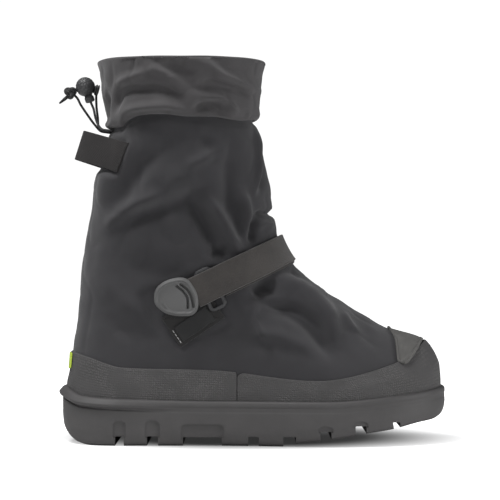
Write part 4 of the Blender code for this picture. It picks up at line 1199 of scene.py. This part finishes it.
class OVERSHOE_OT_cords(bpy.types.Operator):
    """Makes the drawcords behind the cuff and the ball lock, button and knot on them"""
    bl_idname = "overshoe.cords"
    bl_label = "Cords and lock"

    def execute(self, context):
        braid = cord_material("cord_braid", (0.022, 0.022, 0.023))
        shell = plastic("lock_plastic", (0.05, 0.05, 0.052), roughness=0.3, grain=0.0005)

        axis = np.array(LOCK_FOOT[1]) - np.array(LOCK_FOOT[0])
        profile = []
        for k in range(41):
            angle = math.pi * k / 40
            radius = LOCK_RADIUS * math.sin(angle)
            groove = 0.35 * sum(math.exp(-(((k - middle) / 0.8) ** 2)) for middle in (8, 12, 16, 24))
            profile.append((max(0.02, radius - groove * (radius > 1)), -LOCK_RADIUS * math.cos(angle)))
        ball = lathe("ball", profile, LOCK_CENTRE, axis)
        reach = float(np.linalg.norm(np.array(LOCK_FOOT[1]) - np.array(LOCK_CENTRE)))
        foot_profile = [
            (0.1, 5.0), (3.2, 5.0), (3.3, 8.6), (3.85, 9.0), (3.9, 9.4), (3.9, reach - 1.4),
            (3.7, reach - 0.7), (3.2, reach - 0.2), (2.2, reach - 0.1), (2.0, reach - 1.2),
            (0.1, reach - 1.3),
        ]
        foot = lathe("foot", foot_profile, LOCK_CENTRE, axis)
        lock = joined("cord_lock_ball", [ball, foot])
        finish_piece(lock, shell, "cord_lock")

        span = np.array(BUTTON_TO) - np.array(BUTTON_FROM)
        length = float(np.linalg.norm(span))
        button_profile = [
            (0.05, -1.2), (2.6, -1.2), (3.6, 0.0), (4.4, 0.4), (4.5, 1.1), (3.5, 1.35), (3.5, 1.75),
            (4.5, 2.0), (4.5, length - 0.7), (4.1, length - 0.2), (3.2, length), (0.05, length),
        ]
        button = lathe("lock_button", button_profile, BUTTON_FROM, span)
        dark = plastic("button_plastic", (0.02, 0.02, 0.021), roughness=0.35)
        finish_piece(button, dark, "cord_lock_button")

        angle = np.linspace(0, 2 * math.pi, 73)
        size = (KNOT_RADIUS + 0.9 - KNOT_ROPE) / 3.0
        trefoil = np.stack([
            (np.sin(angle) + 2 * np.sin(2 * angle)) * size, np.sin(3 * angle) * size * 1.25,
            (np.cos(angle) - 2 * np.cos(2 * angle)) * size,
        ], -1)
        knot = tube("knot", trefoil + np.array(KNOT_CENTRE), KNOT_ROPE, sides=14, ends=False)
        finish_piece(knot, braid, "cord_knot")

        route = smooth_route(CORD_TAIL, 16)
        widths = TAIL_RADIUS * np.interp(np.linspace(0, 1, 16), (0, 0.5, 0.85, 1), (1.0, 0.9, 0.62, 0.4))
        tail = tube("tail", route, widths, sides=14)
        finish_piece(tail, braid, "cord_tail")

        for name, node, way, far_end, pieces in (
            ("drawcord_left", "cord_left", CORD_LEFT, "fitting", [lock]),
            ("drawcord_right", "cord_right", CORD_RIGHT, "fitting", [button]),
            ("drawcord_strand", "cord_strand", CORD_STRAND, "knot", [knot, tail]),
        ):
            route = smooth_route(way, 28)
            piece = tube(name, route, CORD_RADIUS, sides=14)
            finish_piece(piece, braid, node)
            path = (route - (HEEL_LUG_X, 0.0, 0.0)) * MM
            length = float(np.linalg.norm(np.diff(path, axis=0), axis=1).sum())
        return {"FINISHED"}


def joined(name, bodies):
    """One object out of several."""
    bm = bmesh.new()
    for body in bodies:
        bm.from_mesh(body.data)
    mesh = bpy.data.meshes.new(name)
    bm.to_mesh(mesh)
    bm.free()
    for body in bodies:
        bpy.data.objects.remove(body)
    mesh.shade_smooth()
    result = bpy.data.objects.new(name, mesh)
    bpy.context.scene.collection.objects.link(result)
    return result


def sole_rows(turns, shrink=0.0, from_row=0):
    """Rings of points of the sole's outside, in fine steps from row to row."""
    rim = surface(1.0, turns)
    along = np.roll(rim, -1, axis=0) - np.roll(rim, 1, axis=0)
    plan = unit(np.stack([along[:, 1], -along[:, 0], np.zeros(len(turns))], -1))
    ease = 1 - smooth(LEDGE_FROM_X, LEDGE_TO_X, rim[:, 0])
    coarse = []
    for grow, heel_extra, below, share in SOLE_ROWS:
        point = rim + plan * (grow + heel_extra * ease - shrink)[:, None]
        tread = line_curve(TREAD_LINE, point[:, 0])
        point[:, 2] = rim[:, 2] - below if share is None else tread + share * (rim[:, 2] - tread)
        coarse.append(point)
    coarse = np.array(coarse)
    steps = []
    for row in range(from_row, len(coarse) - 1):
        count = 3 if row < WALL_TOP_ROW else 5
        steps += [row + k / count for k in range(count)]
    steps.append(len(coarse) - 1)
    keys = np.arange(len(coarse))
    return [
        np.stack([curve(keys, coarse[:, :, k].T, np.full(len(turns), step)) for k in range(3)], -1)
        for step in steps
    ]


def lidded(name, rings):
    """Closed object through rings of points, with a lid of strips on the first and the last."""
    count = len(rings[0])
    points = np.array(rings)
    faces = [list(f) for f in grid_faces(len(rings), count, True)]
    for start in (0, (len(rings) - 1) * count):
        half = count // 2
        faces.append([start, start + 1, start + count - 1])
        for i in range(1, half - 1):
            faces.append([start + i, start + i + 1, start + count - i - 1, start + count - i])
        faces.append([start + half - 1, start + half, start + half + 1])
    body = mesh_object(name, points, faces)
    face_out(body)
    return body


def side_prism(name, outline, half_depth=90.0):
    """Closed prism over an outline in the side view."""
    outline = np.asarray(outline, float)
    count = len(outline)
    near = np.stack([outline[:, 0], np.full(count, -half_depth), outline[:, 1]], -1)
    far = near * (1, -1, 1)
    faces = [list(range(count)), list(range(2 * count - 1, count - 1, -1))]
    faces += [[i, (i + 1) % count, count + (i + 1) % count, count + i] for i in range(count)]
    body = mesh_object(name, np.concatenate([near, far]), faces)
    face_out(body)
    return body


def cut(body, tool, operation="DIFFERENCE"):
    """Boolean, applied to the body's mesh, that uses up its tool."""
    modifier = body.modifiers.new("cut", "BOOLEAN")
    modifier.operation = operation
    modifier.solver = "EXACT"
    modifier.object = tool
    apply_modifiers(body)
    bpy.data.objects.remove(tool)


def apply_modifiers(body):
    bpy.context.view_layer.update()
    graph = bpy.context.evaluated_depsgraph_get()
    mesh = bpy.data.meshes.new_from_object(body.evaluated_get(graph))
    body.modifiers.clear()
    body.data = mesh


class OVERSHOE_OT_sole(bpy.types.Operator):
    """Makes the cup sole with its rim, heel lip, lugs and shallow side recesses"""
    bl_idname = "overshoe.sole"
    bl_label = "Sole"

    def execute(self, context):
        settings = context.scene.overshoe
        turns = np.arange(SOLE_COLUMNS) / SOLE_COLUMNS
        point, normal = surface_frame(0.0, turns)
        bed = point + normal * GAP - (0, 0, GAP)
        point, normal = surface_frame(RIM_INSIDE_LEVEL, turns)
        inside = point + normal * GAP
        sole = lidded("sole", [bed, inside] + sole_rows(turns))
        gaps = []
        for number, notch in enumerate(NOTCHES):
            top = float(line_curve(TREAD_LINE, np.array((notch.from_x + notch.to_x) / 2))) + notch.depth
            slant, radii = (4.0, (0.6, 0.4)) if number == len(NOTCHES) - 1 else (0.0, (0.9, 0.9))
            corners = [
                (notch.from_x + slant, BELOW_FLOOR, 0), (notch.to_x, BELOW_FLOOR, 0),
                (notch.to_x, top, radii[0]), (notch.from_x, top, radii[1]),
            ]
            gaps.append(side_prism("gap", rounded_outline(corners, 3, 40.0)))
            if notch.recess_top:
                left, right = notch.from_x - RECESS_MARGIN, notch.to_x + RECESS_MARGIN
                radius = min(4.0, (right - left) / 2 - 0.1)
                window = rounded_outline((
                    (left, top - 1.0, 0.0), (right, top - 1.0, 0.0),
                    (right, notch.recess_top, radius), (left, notch.recess_top, radius),
                ), 6, 40.0)
                recess = side_prism("recess", window)
                core = lidded("core", sole_rows(turns[::2], RECESS_DEPTH, WALL_TOP_ROW))
                cut(recess, core)
                cut(sole, recess)
        cut(sole, joined("gaps", gaps))
        soften = sole.modifiers.new("soft edges", "BEVEL")
        soften.width = 0.45 * MM
        soften.segments = 2
        soften.limit_method = "ANGLE"
        soften.angle_limit = math.radians(50)
        apply_modifiers(sole)
        sole.data.shade_smooth()
        sole.data.set_sharp_from_angle(angle=math.radians(40))
        finish_piece(sole, rubber("sole_rubber", tuple(settings.rubber_colour)), "outsole")
        return {"FINISHED"}


def even_levels(low, high, step):
    """Levels between two rings, spaced by this height."""
    levels = np.linspace(low, high, 400)
    heights = surface(levels[:, None], np.array([0.12, 0.3])[None]).mean(axis=1)[:, 2]
    count = int((heights[-1] - heights[0]) / step)
    return np.interp(np.linspace(heights[0], heights[-1], count), heights, levels)


class OVERSHOE_OT_upper(bpy.types.Operator):
    """Makes the creased nylon shell, its lining and the insole's finish"""
    bl_idname = "overshoe.upper"
    bl_label = "Upper"

    def execute(self, context):
        settings = context.scene.overshoe
        turns = np.arange(CLOTH_COLUMNS)[None] / CLOTH_COLUMNS
        levels = even_levels(0.0, LEVEL["cinch"] + 0.5, CLOTH_STEP)[:, None]
        point, normal = surface_frame(levels, turns)
        relief = shaft_relief(point)
        shell = grid_piece("shell", point + normal * relief[..., None], closed=True)
        threads = 1 / settings.thread_pitch
        nylon = cloth("shell_nylon", tuple(settings.shell_colour), threads, 0.00005, dust=0.04)
        finish_piece(shell, nylon, "upper")

        turns = np.arange(LINING_COLUMNS)[None] / LINING_COLUMNS
        levels = even_levels(0.0, LEVEL["cinch"] + 0.35, LINING_STEP)[:, None]
        point, normal = surface_frame(levels, turns)
        depth = 2.0 + 0.35 * soft_noise(point, 14.0, 11.0)
        inside = np.minimum(shaft_relief(point), 0.0)
        lining = grid_piece("lining", point - normal * (depth - inside)[..., None], closed=True)
        lining.data.flip_normals()
        finish_piece(lining, pile_material("lining_fleece", (0.06, 0.06, 0.063)))

        felt = pile_material("insole_felt", (0.09, 0.087, 0.083))
        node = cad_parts["insole"]
        for slot in node.material_slots:
            slot.material = felt
        return {"FINISHED"}


def cuff_line(turns, height):
    """Points and normals on the cuff at a height above its hem's edge."""
    hem = level_where(
        turns, LEVEL["shaft high"], LEVEL["cuff"], lambda p: p[..., 2] > line_curve(HEM_LINE, p[..., 0])
    )
    start = surface(hem, turns)[..., 2]
    target = np.minimum(start + height, CUFF_TOP_Z)
    level = level_where(turns, LEVEL["shaft high"], TOP, lambda p: p[..., 2] > target)
    point, normal = surface_frame(level, turns)
    return point, normal


def cuff_face(turns, height):
    """Outer face of the cuff: blouse over the hem, gathers and creases."""
    depth = bpy.context.scene.overshoe.fold_depth
    point, normal = cuff_line(turns, height)
    angle = 2 * math.pi * turns
    gather = sum(
        np.sin(number * angle + sway * np.sin(sways * angle)) * np.exp(-height / fading) * deep
        for number, sway, sways, fading, deep in GATHERS
    )
    out = curve(CUFF_HEIGHTS, CUFF_OUTS, np.full(np.shape(turns), float(height)))
    relief = fold_height(point, CUFF_FOLDS) * CUFF_GAIN * smooth(0.5, 6.0, height)
    relief = with_lumps(relief, point, CUFF_LUMPS)
    relief = (relief - wrinkles(point, CUFF_WRINKLES)) * depth
    held = smooth(0.0, 3.0, height)
    total = out + (gather + relief) * held
    deepest = 0.35 + CUFF_DEEPEST * smooth(4.0, 10.0, height) - 2.0 * (1 - held)
    return point, normal, np.maximum(total, deepest)


class OVERSHOE_OT_cuff(bpy.types.Operator):
    """Makes the cuff with its blousing hem, its rolled top edge and the facing inside"""
    bl_idname = "overshoe.cuff"
    bl_label = "Cuff"

    def execute(self, context):
        settings = context.scene.overshoe
        turns = np.arange(CLOTH_COLUMNS) / CLOTH_COLUMNS
        rows = []
        for height, depth in CUFF_TUCK:
            point, normal = cuff_line(turns, height)
            rows.append(point - normal * depth)
        for height in np.concatenate([HEM_HEIGHTS, np.arange(*CUFF_FACE, CLOTH_STEP)]):
            point, normal, out = cuff_face(turns, height)
            rows.append(point + normal * out[:, None])
        top, top_normal = surface_frame(np.full(len(turns), float(TOP)), turns)
        high, size, seed = CUFF_WAVE
        wave = high * soft_noise(top, size, seed)
        for out, rise in CUFF_EDGE:
            rows.append(top + top_normal * out + np.stack([0 * wave, 0 * wave, rise + wave], -1))
        for height in np.arange(*CUFF_INSIDE, CUFF_INSIDE_STEP):
            point, normal, out = cuff_face(turns, height)
            behind = np.minimum(out, 1.6) - FACING_BEHIND - 3.4 * smooth(16.0, 4.0, height)
            rows.append(point + normal * behind[:, None])
        cuff = grid_piece("cuff", np.array(rows), closed=True)
        threads = 1 / settings.thread_pitch
        finish_piece(cuff, cloth("cuff_nylon", tuple(settings.cuff_colour), threads, 0.00005), "collar")
        return {"FINISHED"}


def rand_grid(seam_x, front):
    """Grid of the rubber band from the seam around the heel or around the toe."""
    bottom = LEVEL["rim"] - 0.02
    top = LEVEL["rand top"]
    share = edge_steps(26, 0.03, 1.0)
    levels = bottom + (top - bottom) * share
    across = edge_steps(230 if front else 170, 0.003, 1.0)
    rows = []
    for level in levels:
        drop = (top - level) * 17.0 + 1e-6
        left = RAND_CORNER - min(drop, RAND_CORNER)
        corner = RAND_CORNER - math.sqrt(max(0.0, RAND_CORNER ** 2 - left ** 2))
        if front:
            start = turn_at(np.array(level), seam_x + corner, OUTER)
            turn = start + (1 - 2 * start) * across
        else:
            start = turn_at(np.array(level), seam_x - 0.25 * corner, OUTER)
            turn = -start + 2 * start * across
        point, normal = surface_frame(np.full(len(turn), level), turn)
        lengths = running_lengths(point)
        from_end = np.minimum(lengths, lengths[-1] - lengths)
        height = GAP + RAND_THICKNESS + 0.25 * soft_noise(point, 12.0, 4.0) - 0.25
        height = height * np.minimum(edge_round(from_end, 0.35, 1.0), edge_round(drop, 1.1, 1.0))
        rows.append(point + normal * height[:, None])
    return np.array(rows)


class OVERSHOE_OT_rands(bpy.types.Operator):
    """Makes the two lengths of the rubberised band above the sole"""
    bl_idname = "overshoe.rands"
    bl_label = "Rubber band"

    def execute(self, context):
        settings = context.scene.overshoe
        stipple = rand_material("band_rubber", tuple(settings.rand_colour))
        for name, gap, front in (("heel", -0.1, False), ("front", 0.1, True)):
            seam_x = RAND_SEAM_X + gap
            finish_piece(grid_piece("band_" + name, rand_grid(seam_x, front)), stipple, "rand_" + name)
        return {"FINISHED"}


def saddle_outline():
    """Outline of the toe patch over both sides as levels and turns."""
    outline = rounded_outline(TOE_PATCH, 8, 1.0)
    level, turn = locate(outline[:, 0], outline[:, 1], OUTER)
    point = surface(level, turn)
    on_surface = np.hypot(point[:, 0] - outline[:, 0], point[:, 2] - outline[:, 1]) < 0.3
    order = np.arange(len(outline))
    keep = order[on_surface]
    start = keep[np.argmax(np.diff(np.concatenate([keep, [keep[0] + len(outline)]])))]
    ordered = [(start + 1 + k) % len(outline) for k in range(len(outline))]
    ordered = [k for k in ordered if on_surface[k]]
    level, turn = level[ordered], turn[ordered]
    mirrored = 1 - turn[::-1]
    return np.concatenate([level, level[::-1]]), np.concatenate([turn, mirrored])


def patch_seat(point):
    """Distance of a patch from the upper where it lies on the band and where on the cloth."""
    level_band = smooth(-1.0, 2.5, band_height(point) - point[..., 2])
    return GAP + level_band * (RAND_THICKNESS + GAP)


def band_height(point):
    """Height of the band's top edge at this station."""
    turns = np.linspace(0.0, 0.5, 200)
    edge = surface(float(LEVEL["rand top"]), turns)
    return np.interp(point[..., 0], edge[:, 0], edge[:, 2])


class OVERSHOE_OT_patches(bpy.types.Operator):
    """Makes the ribbed patch over the toe and the coloured patch at the heel"""
    bl_idname = "overshoe.patches"
    bl_label = "Patches"

    def execute(self, context):
        settings = context.scene.overshoe
        level, turn = saddle_outline()
        rim = [
            (0.0, 0.0), (0.0, 1.0), (0.12, 1.3), (0.4, 1.55), (0.8, 1.65), (1.2, 1.55), (1.5, 1.2),
            (1.7, 0.75), (1.9, 0.55), (2.5, 0.55),
        ]
        saddle = patch("toe_saddle", level, turn, rim, 26, patch_seat)
        finish_piece(saddle, ribbed_material("toe_patch_rubber", (0.125, 0.122, 0.117)), "toe_patch")

        half, low, high = HEEL_PATCH
        outline = rounded_outline(box_corners((-half, low), (half, high), 2.0), 5, 1.0)
        turns = np.linspace(0, 0.12, 200)
        heel = []
        for across, height in outline:
            levels = level_where(turns, LEVEL["rim"], LEVEL["rand top"], lambda p: p[..., 2] > height)
            widths = np.abs(surface(levels, turns)[:, 1])
            at = float(np.interp(abs(across), widths, turns))
            heel.append((float(np.interp(at, turns, levels)), at if across < 0 else -at))
        heel = np.array(heel)
        rim = [(0.0, 0.0), (0.0, 0.4), (0.12, 0.6), (0.35, 0.7), (0.7, 0.72)]
        seat = 2 * GAP + RAND_THICKNESS
        spot = patch("heel_spot", heel[:, 0], heel[:, 1], rim, 10, seat)
        lime = rubber("heel_spot_rubber", tuple(settings.patch_colour), roughness=0.5, dust=0.0)
        finish_piece(spot, lime, "heel_patch")
        return {"FINISHED"}


def strap_out(x):
    return STRAP_OUT_SIDE + smooth(*STRAP_EASE, x) * (STRAP_OUT_FRONT - STRAP_OUT_SIDE)


def band(name, start, low, high, out, thickness, columns=300, rows=22, edge=0.7):
    """Strap over the front of the ankle between two edges in the side view."""
    across = low + edge_steps(rows, edge, high - low)
    share = edge_steps(columns, 0.008, 1.0)
    points = []
    for height in across:
        end_x, end_z = slanted(STRAP_START, STRAP_ANGLE, start, height)
        ends = [float(locate(end_x, end_z, side)[1]) for side in (OUTER, INNER)]
        turn = ends[0] + (ends[1] - ends[0]) * share
        level = level_where(turn, 3.2, 11.5, lambda p: strap_axes(p)[1] > height)
        point, normal = surface_frame(level, turn)
        lengths = running_lengths(point)
        from_end = np.minimum(lengths, lengths[-1] - lengths)
        distance = np.minimum(from_end, min(height - low, high - height))
        base = out(point[:, 0]) if callable(out) else out
        height_out = base + edge_round(distance, edge, thickness) - 0.15
        height_out = height_out + 0.12 * soft_noise(point, 16.0, 13.0)
        points.append(point + normal * height_out[:, None])
    return grid_piece(name, np.array(points))


def grip_relief(point):
    """Two curved grooves and a low arc in the face of the grip."""
    lines = (
        (-2.7, 0.85, ((99.2, 129.9), (104.8, 125.1), (108.0, 118.7), (109.6, 111.5))),
        (-2.7, 0.85, ((96.0, 128.3), (101.6, 123.5), (104.8, 117.1), (104.8, 110.7))),
        (0.5, 0.9, ((85.6, 113.9), (89.6, 108.9), (96.0, 106.5), (102.4, 106.9))),
    )
    total = np.zeros(point.shape[:-1])
    for depth, width, corners in lines:
        corners = np.array(corners)
        lengths = np.concatenate([[0], np.cumsum(np.hypot(*np.diff(corners, axis=0).T))])
        at = np.linspace(0, lengths[-1], 40)
        line = np.stack([curve(lengths, corners[:, k], at) for k in (0, 1)], -1)
        spot = point[..., (0, 2)]
        distance = np.min(np.hypot(
            spot[..., None, 0] - line[:, 0], spot[..., None, 1] - line[:, 1]
        ), axis=-1)
        total += depth * np.exp(-((distance / width) ** 4))
    return total


def ring_piece(name):
    """Flat rounded bar that runs round a rectangle on the side of the ankle."""
    half_along, half_across = (RING_SIZE[0] - RING_BAR) / 2, (RING_SIZE[1] - RING_BAR) / 2
    low = (RING_CENTRE[0] - half_along, RING_CENTRE[1] - half_across)
    high = (RING_CENTRE[0] + half_along, RING_CENTRE[1] + half_across)
    corners = slanted_corners(STRAP_START, STRAP_ANGLE, box_corners(low, high, 3.0))
    line = rounded_outline(corners, 8, 1.0)
    level, turn = locate(line[:, 0], line[:, 1], OUTER)
    point, normal = surface_frame(level, turn)
    ahead = unit(np.roll(point, -1, axis=0) - np.roll(point, 1, axis=0))
    side = np.cross(normal, ahead)
    centre = point + normal * 2.9
    angle = np.linspace(0, 2 * math.pi, 14, endpoint=False)
    wide = np.sign(np.cos(angle)) * np.abs(np.cos(angle)) ** 0.6 * RING_BAR / 2
    thick = np.sign(np.sin(angle)) * np.abs(np.sin(angle)) ** 0.6 * 1.0
    rows = centre[None] + wide[:, None, None] * side[None] + thick[:, None, None] * normal[None]
    rows = np.concatenate([rows, rows[:1]])
    body = grid_piece(name, rows, closed=True)
    face_out(body)
    return body


class OVERSHOE_OT_strap(bpy.types.Operator):
    """Makes the strap over the ankle, its lower layer, its moulded grip and the flat ring"""
    bl_idname = "overshoe.strap"
    bl_label = "Strap"

    def execute(self, context):
        settings = context.scene.overshoe
        half = WEBBING_WIDTH / 2
        pile = pile_material("strap_pile", tuple(settings.strap_colour))
        strap = band("strap_pile_layer", 0.6, -half, half, strap_out, WEBBING)
        finish_piece(strap, pile, "strap")
        low, high = -half + STRAP_LOWER_SHIFT, half + STRAP_LOWER_SHIFT
        lower = band("strap_lower_layer", STRAP_LOWER_START, low, high, GAP, WEBBING)
        finish_piece(lower, cloth("strap_webbing", (0.036, 0.032, 0.030), 700.0, 0.0003), "strap_lower")

        outline = smooth_outline(GRIP_OUTLINE, 0.55)
        rim = [
            (0.0, 0.0), (0.0, 1.7), (0.15, 2.2), (0.5, 2.5), (1.1, 2.7), (1.5, 3.1), (1.9, 3.4),
            (2.4, 3.4), (2.8, 3.0), (3.1, 2.4), (3.5, 2.1), (4.1, 2.1),
        ]
        grip = side_patch("grip", outline, rim, 44, GRIP_OUT, relief=grip_relief)
        moulded = rubber("grip_rubber", tuple(settings.grip_colour), roughness=0.5, dust=0.0)
        finish_piece(grip, moulded, "strap_grip")
        hard = plastic("ring_plastic", (0.032, 0.032, 0.034), 0.4)
        finish_piece(ring_piece("flat_ring"), hard, "strap_ring")
        return {"FINISHED"}


class OVERSHOE_OT_label(bpy.types.Operator):
    """Makes the sewn patch under the grip and the bare label with its pale stitched end"""
    bl_idname = "overshoe.label"
    bl_label = "Sewn patch and label"

    def execute(self, context):
        length, width = ANCHOR_SIZE
        box = box_corners((0, -width / 2), (length, width / 2), 0.6)
        corners = slanted_corners(ANCHOR_EDGE, ANCHOR_ANGLE, box)
        outline = rounded_outline(corners, 3, 1.0)
        rim = [(0.0, 0.0), (0.0, 0.7), (0.15, 1.0), (0.5, 1.2), (1.0, 1.2)]
        anchor = side_patch("sewn_patch", outline, rim, 18, GAP)
        finish_piece(anchor, cloth("patch_webbing", (0.022, 0.021, 0.021), 800.0, 0.0002), "strap_anchor")

        low = (LABEL_SHIFT[0], LABEL_SHIFT[1] - LABEL_SIZE[1] / 2)
        high = (LABEL_SHIFT[0] + LABEL_SIZE[0], LABEL_SHIFT[1] + LABEL_SIZE[1] / 2)
        corners = slanted_corners(ANCHOR_EDGE, ANCHOR_ANGLE, box_corners(low, high, 0.5))
        outline = rounded_outline(corners, 3, 0.8)
        rim = [(0.0, 0.0), (0.0, 0.35), (0.15, 0.55), (0.4, 0.6)]
        label = side_patch("bare_label", outline, rim, 14, 1.8)
        satin = cloth("label_satin", (0.014, 0.014, 0.0145), 1600.0, 0.00006, roughness=0.6)
        finish_piece(label, satin, "label")

        at = np.linspace(0, 1, 30)
        ends = (-width / 2 + 2.5, width / 2 - 13.0)
        x, z = slanted(ANCHOR_EDGE, ANCHOR_ANGLE, np.full(30, 2.3), ends[0] + (ends[1] - ends[0]) * at)
        level, turn = locate(x, z, OUTER)
        point, normal = surface_frame(level, turn)
        lines = [(point + normal * 1.6, normal)]
        pale = stitch_rows("label_stitches", lines, length=2.6, pitch=2.9, radius=0.3)
        finish_piece(pale, cloth("pale_thread", (0.5, 0.5, 0.5), 3000.0, 0.00003, roughness=0.7))
        return {"FINISHED"}


def loop_line_z(x, across):
    start_x = LOOP_START[0] + across * math.sin(LOOP_SLANT)
    start_z = LOOP_START[1] + across * math.cos(LOOP_SLANT)
    return start_z - (x - start_x) * math.tan(LOOP_SLANT)


def loop_end(across):
    """Turn at which the sewn webbing ends, so that its end is square to its own run."""
    return LOOP_SEWN_TURN + across * LOOP_END_LEAN


def loop_line(across, out):
    """One line along the pull loop, from its outer sewn end round the tip to the inner one."""
    turns = np.linspace(loop_end(across), LOOP_LEAVES_TURN, 16)
    level = level_where(turns, LEVEL["strap"], TOP, lambda p: p[..., 2] > loop_line_z(p[..., 0], across))
    point, normal = surface_frame(level, turns)
    sewn = point + normal * out
    leave = sewn[-1]
    heading = unit(sewn[-1] - sewn[-2])
    tip = np.array([LOOP_TIP_X - (out - LOOP_OUT) + across * math.sin(LOOP_SLANT), 0.0, 0.0])
    nose = tip + (0.0, -LOOP_NOSE, 0.0)
    ahead = leave + heading * LOOP_RUN
    t = np.linspace(0, 1, 25)[1:, None]
    free = leave * (1 - t) ** 3 + ahead * (3 * t * (1 - t) ** 2)
    free = free + nose * (3 * t * t * (1 - t)) + tip * t ** 3
    free[:, 2] = loop_line_z(free[:, 0], across)
    half = np.concatenate([sewn, free])
    return np.concatenate([half, half[:-1][::-1] * (1, -1, 1)])


class OVERSHOE_OT_loop(bpy.types.Operator):
    """Makes the webbing pull loop at the back and the stitches that hold it"""
    bl_idname = "overshoe.loop"
    bl_label = "Pull loop"

    def execute(self, context):
        half = WEBBING_WIDTH / 2
        across = half - np.array([0.0, 0.15, 0.5, 0.9])
        outs = LOOP_OUT + WEBBING / 2 + WEBBING / 2 * np.array([0.35, 0.75, 0.97, 1.0])
        section = list(zip(across, outs))
        section += [(a, LOOP_OUT + WEBBING) for a in np.linspace(half - 1.5, -half + 1.5, 15)]
        section += list(zip(-across[::-1], outs[::-1]))
        section += list(zip(-across, 2 * LOOP_OUT + WEBBING - outs))
        section += [(a, LOOP_OUT) for a in np.linspace(-half + 1.5, half - 1.5, 15)]
        section += list(zip(across[::-1], 2 * LOOP_OUT + WEBBING - outs[::-1]))
        lines = np.array([loop_line(a, out) for a, out in section])
        points = np.concatenate([lines, lines[:1]])
        body = grid_piece("webbing_loop", points)
        bm = bmesh.new()
        bm.from_mesh(body.data)
        bmesh.ops.remove_doubles(bm, verts=bm.verts, dist=1e-6)
        ends = [edge for edge in bm.edges if edge.is_boundary]
        bmesh.ops.holes_fill(bm, edges=ends, sides=0)
        bmesh.ops.recalc_face_normals(bm, faces=bm.faces)
        bm.to_mesh(body.data)
        bm.free()
        webbing = cloth(
            "loop_webbing", (0.028, 0.026, 0.026), 620.0, 0.00035, roughness=0.88, sheen=0.05, gloss=0.15
        )
        finish_piece(body, webbing, "pull_loop")

        rows = []
        for shift in (0.003, 0.006):
            for mirror in (1, -1):
                across = np.linspace(half - 1.5, -half + 1.5, 30)
                turns = loop_end(across) - shift
                level = level_where(
                    turns, LEVEL["strap"], TOP, lambda p: p[..., 2] > loop_line_z(p[..., 0], across)
                )
                point, normal = surface_frame(level, turns)
                line = point + normal * (LOOP_OUT + WEBBING + 0.05)
                rows.append((line * (1, mirror, 1), normal * (1, mirror, 1)))
        thread = stitch_rows("loop_stitches", rows, length=2.0, pitch=2.6, radius=0.26)
        finish_piece(thread, cloth("dark_thread", (0.03, 0.03, 0.031), 3000.0, 0.00003, roughness=0.7))
        return {"FINISHED"}


class OVERSHOE_PT_panel(bpy.types.Panel):
    """Lists the overshoe's settings and the operators that make its pieces"""
    bl_label = "Overshoe"
    bl_idname = "OVERSHOE_PT_panel"
    bl_space_type = "VIEW_3D"
    bl_region_type = "UI"
    bl_category = "Overshoe"

    def draw(self, context):
        settings = context.scene.overshoe
        for name in OvershoeSettings.__annotations__:
            self.layout.prop(settings, name)
        for operator in OPERATORS:
            self.layout.operator(operator.bl_idname)


OPERATORS = (
    OVERSHOE_OT_stage, OVERSHOE_OT_cords, OVERSHOE_OT_sole, OVERSHOE_OT_upper, OVERSHOE_OT_cuff,
    OVERSHOE_OT_rands, OVERSHOE_OT_patches, OVERSHOE_OT_strap, OVERSHOE_OT_label, OVERSHOE_OT_loop,
)
CLASSES = (OvershoeSettings, *OPERATORS, OVERSHOE_PT_panel)


def register():
    for item in CLASSES:
        bpy.utils.register_class(item)
    bpy.types.Scene.overshoe = PointerProperty(type=OvershoeSettings)


def unregister():
    del bpy.types.Scene.overshoe
    for item in reversed(CLASSES):
        bpy.utils.unregister_class(item)


def main():
    register()
    bpy.ops.overshoe.stage()
    bpy.ops.overshoe.cords()
    bpy.ops.overshoe.sole()
    bpy.ops.overshoe.upper()
    bpy.ops.overshoe.cuff()
    bpy.ops.overshoe.rands()
    bpy.ops.overshoe.patches()
    bpy.ops.overshoe.strap()
    bpy.ops.overshoe.label()
    bpy.ops.overshoe.loop()


if __name__ == "__main__":
    main()
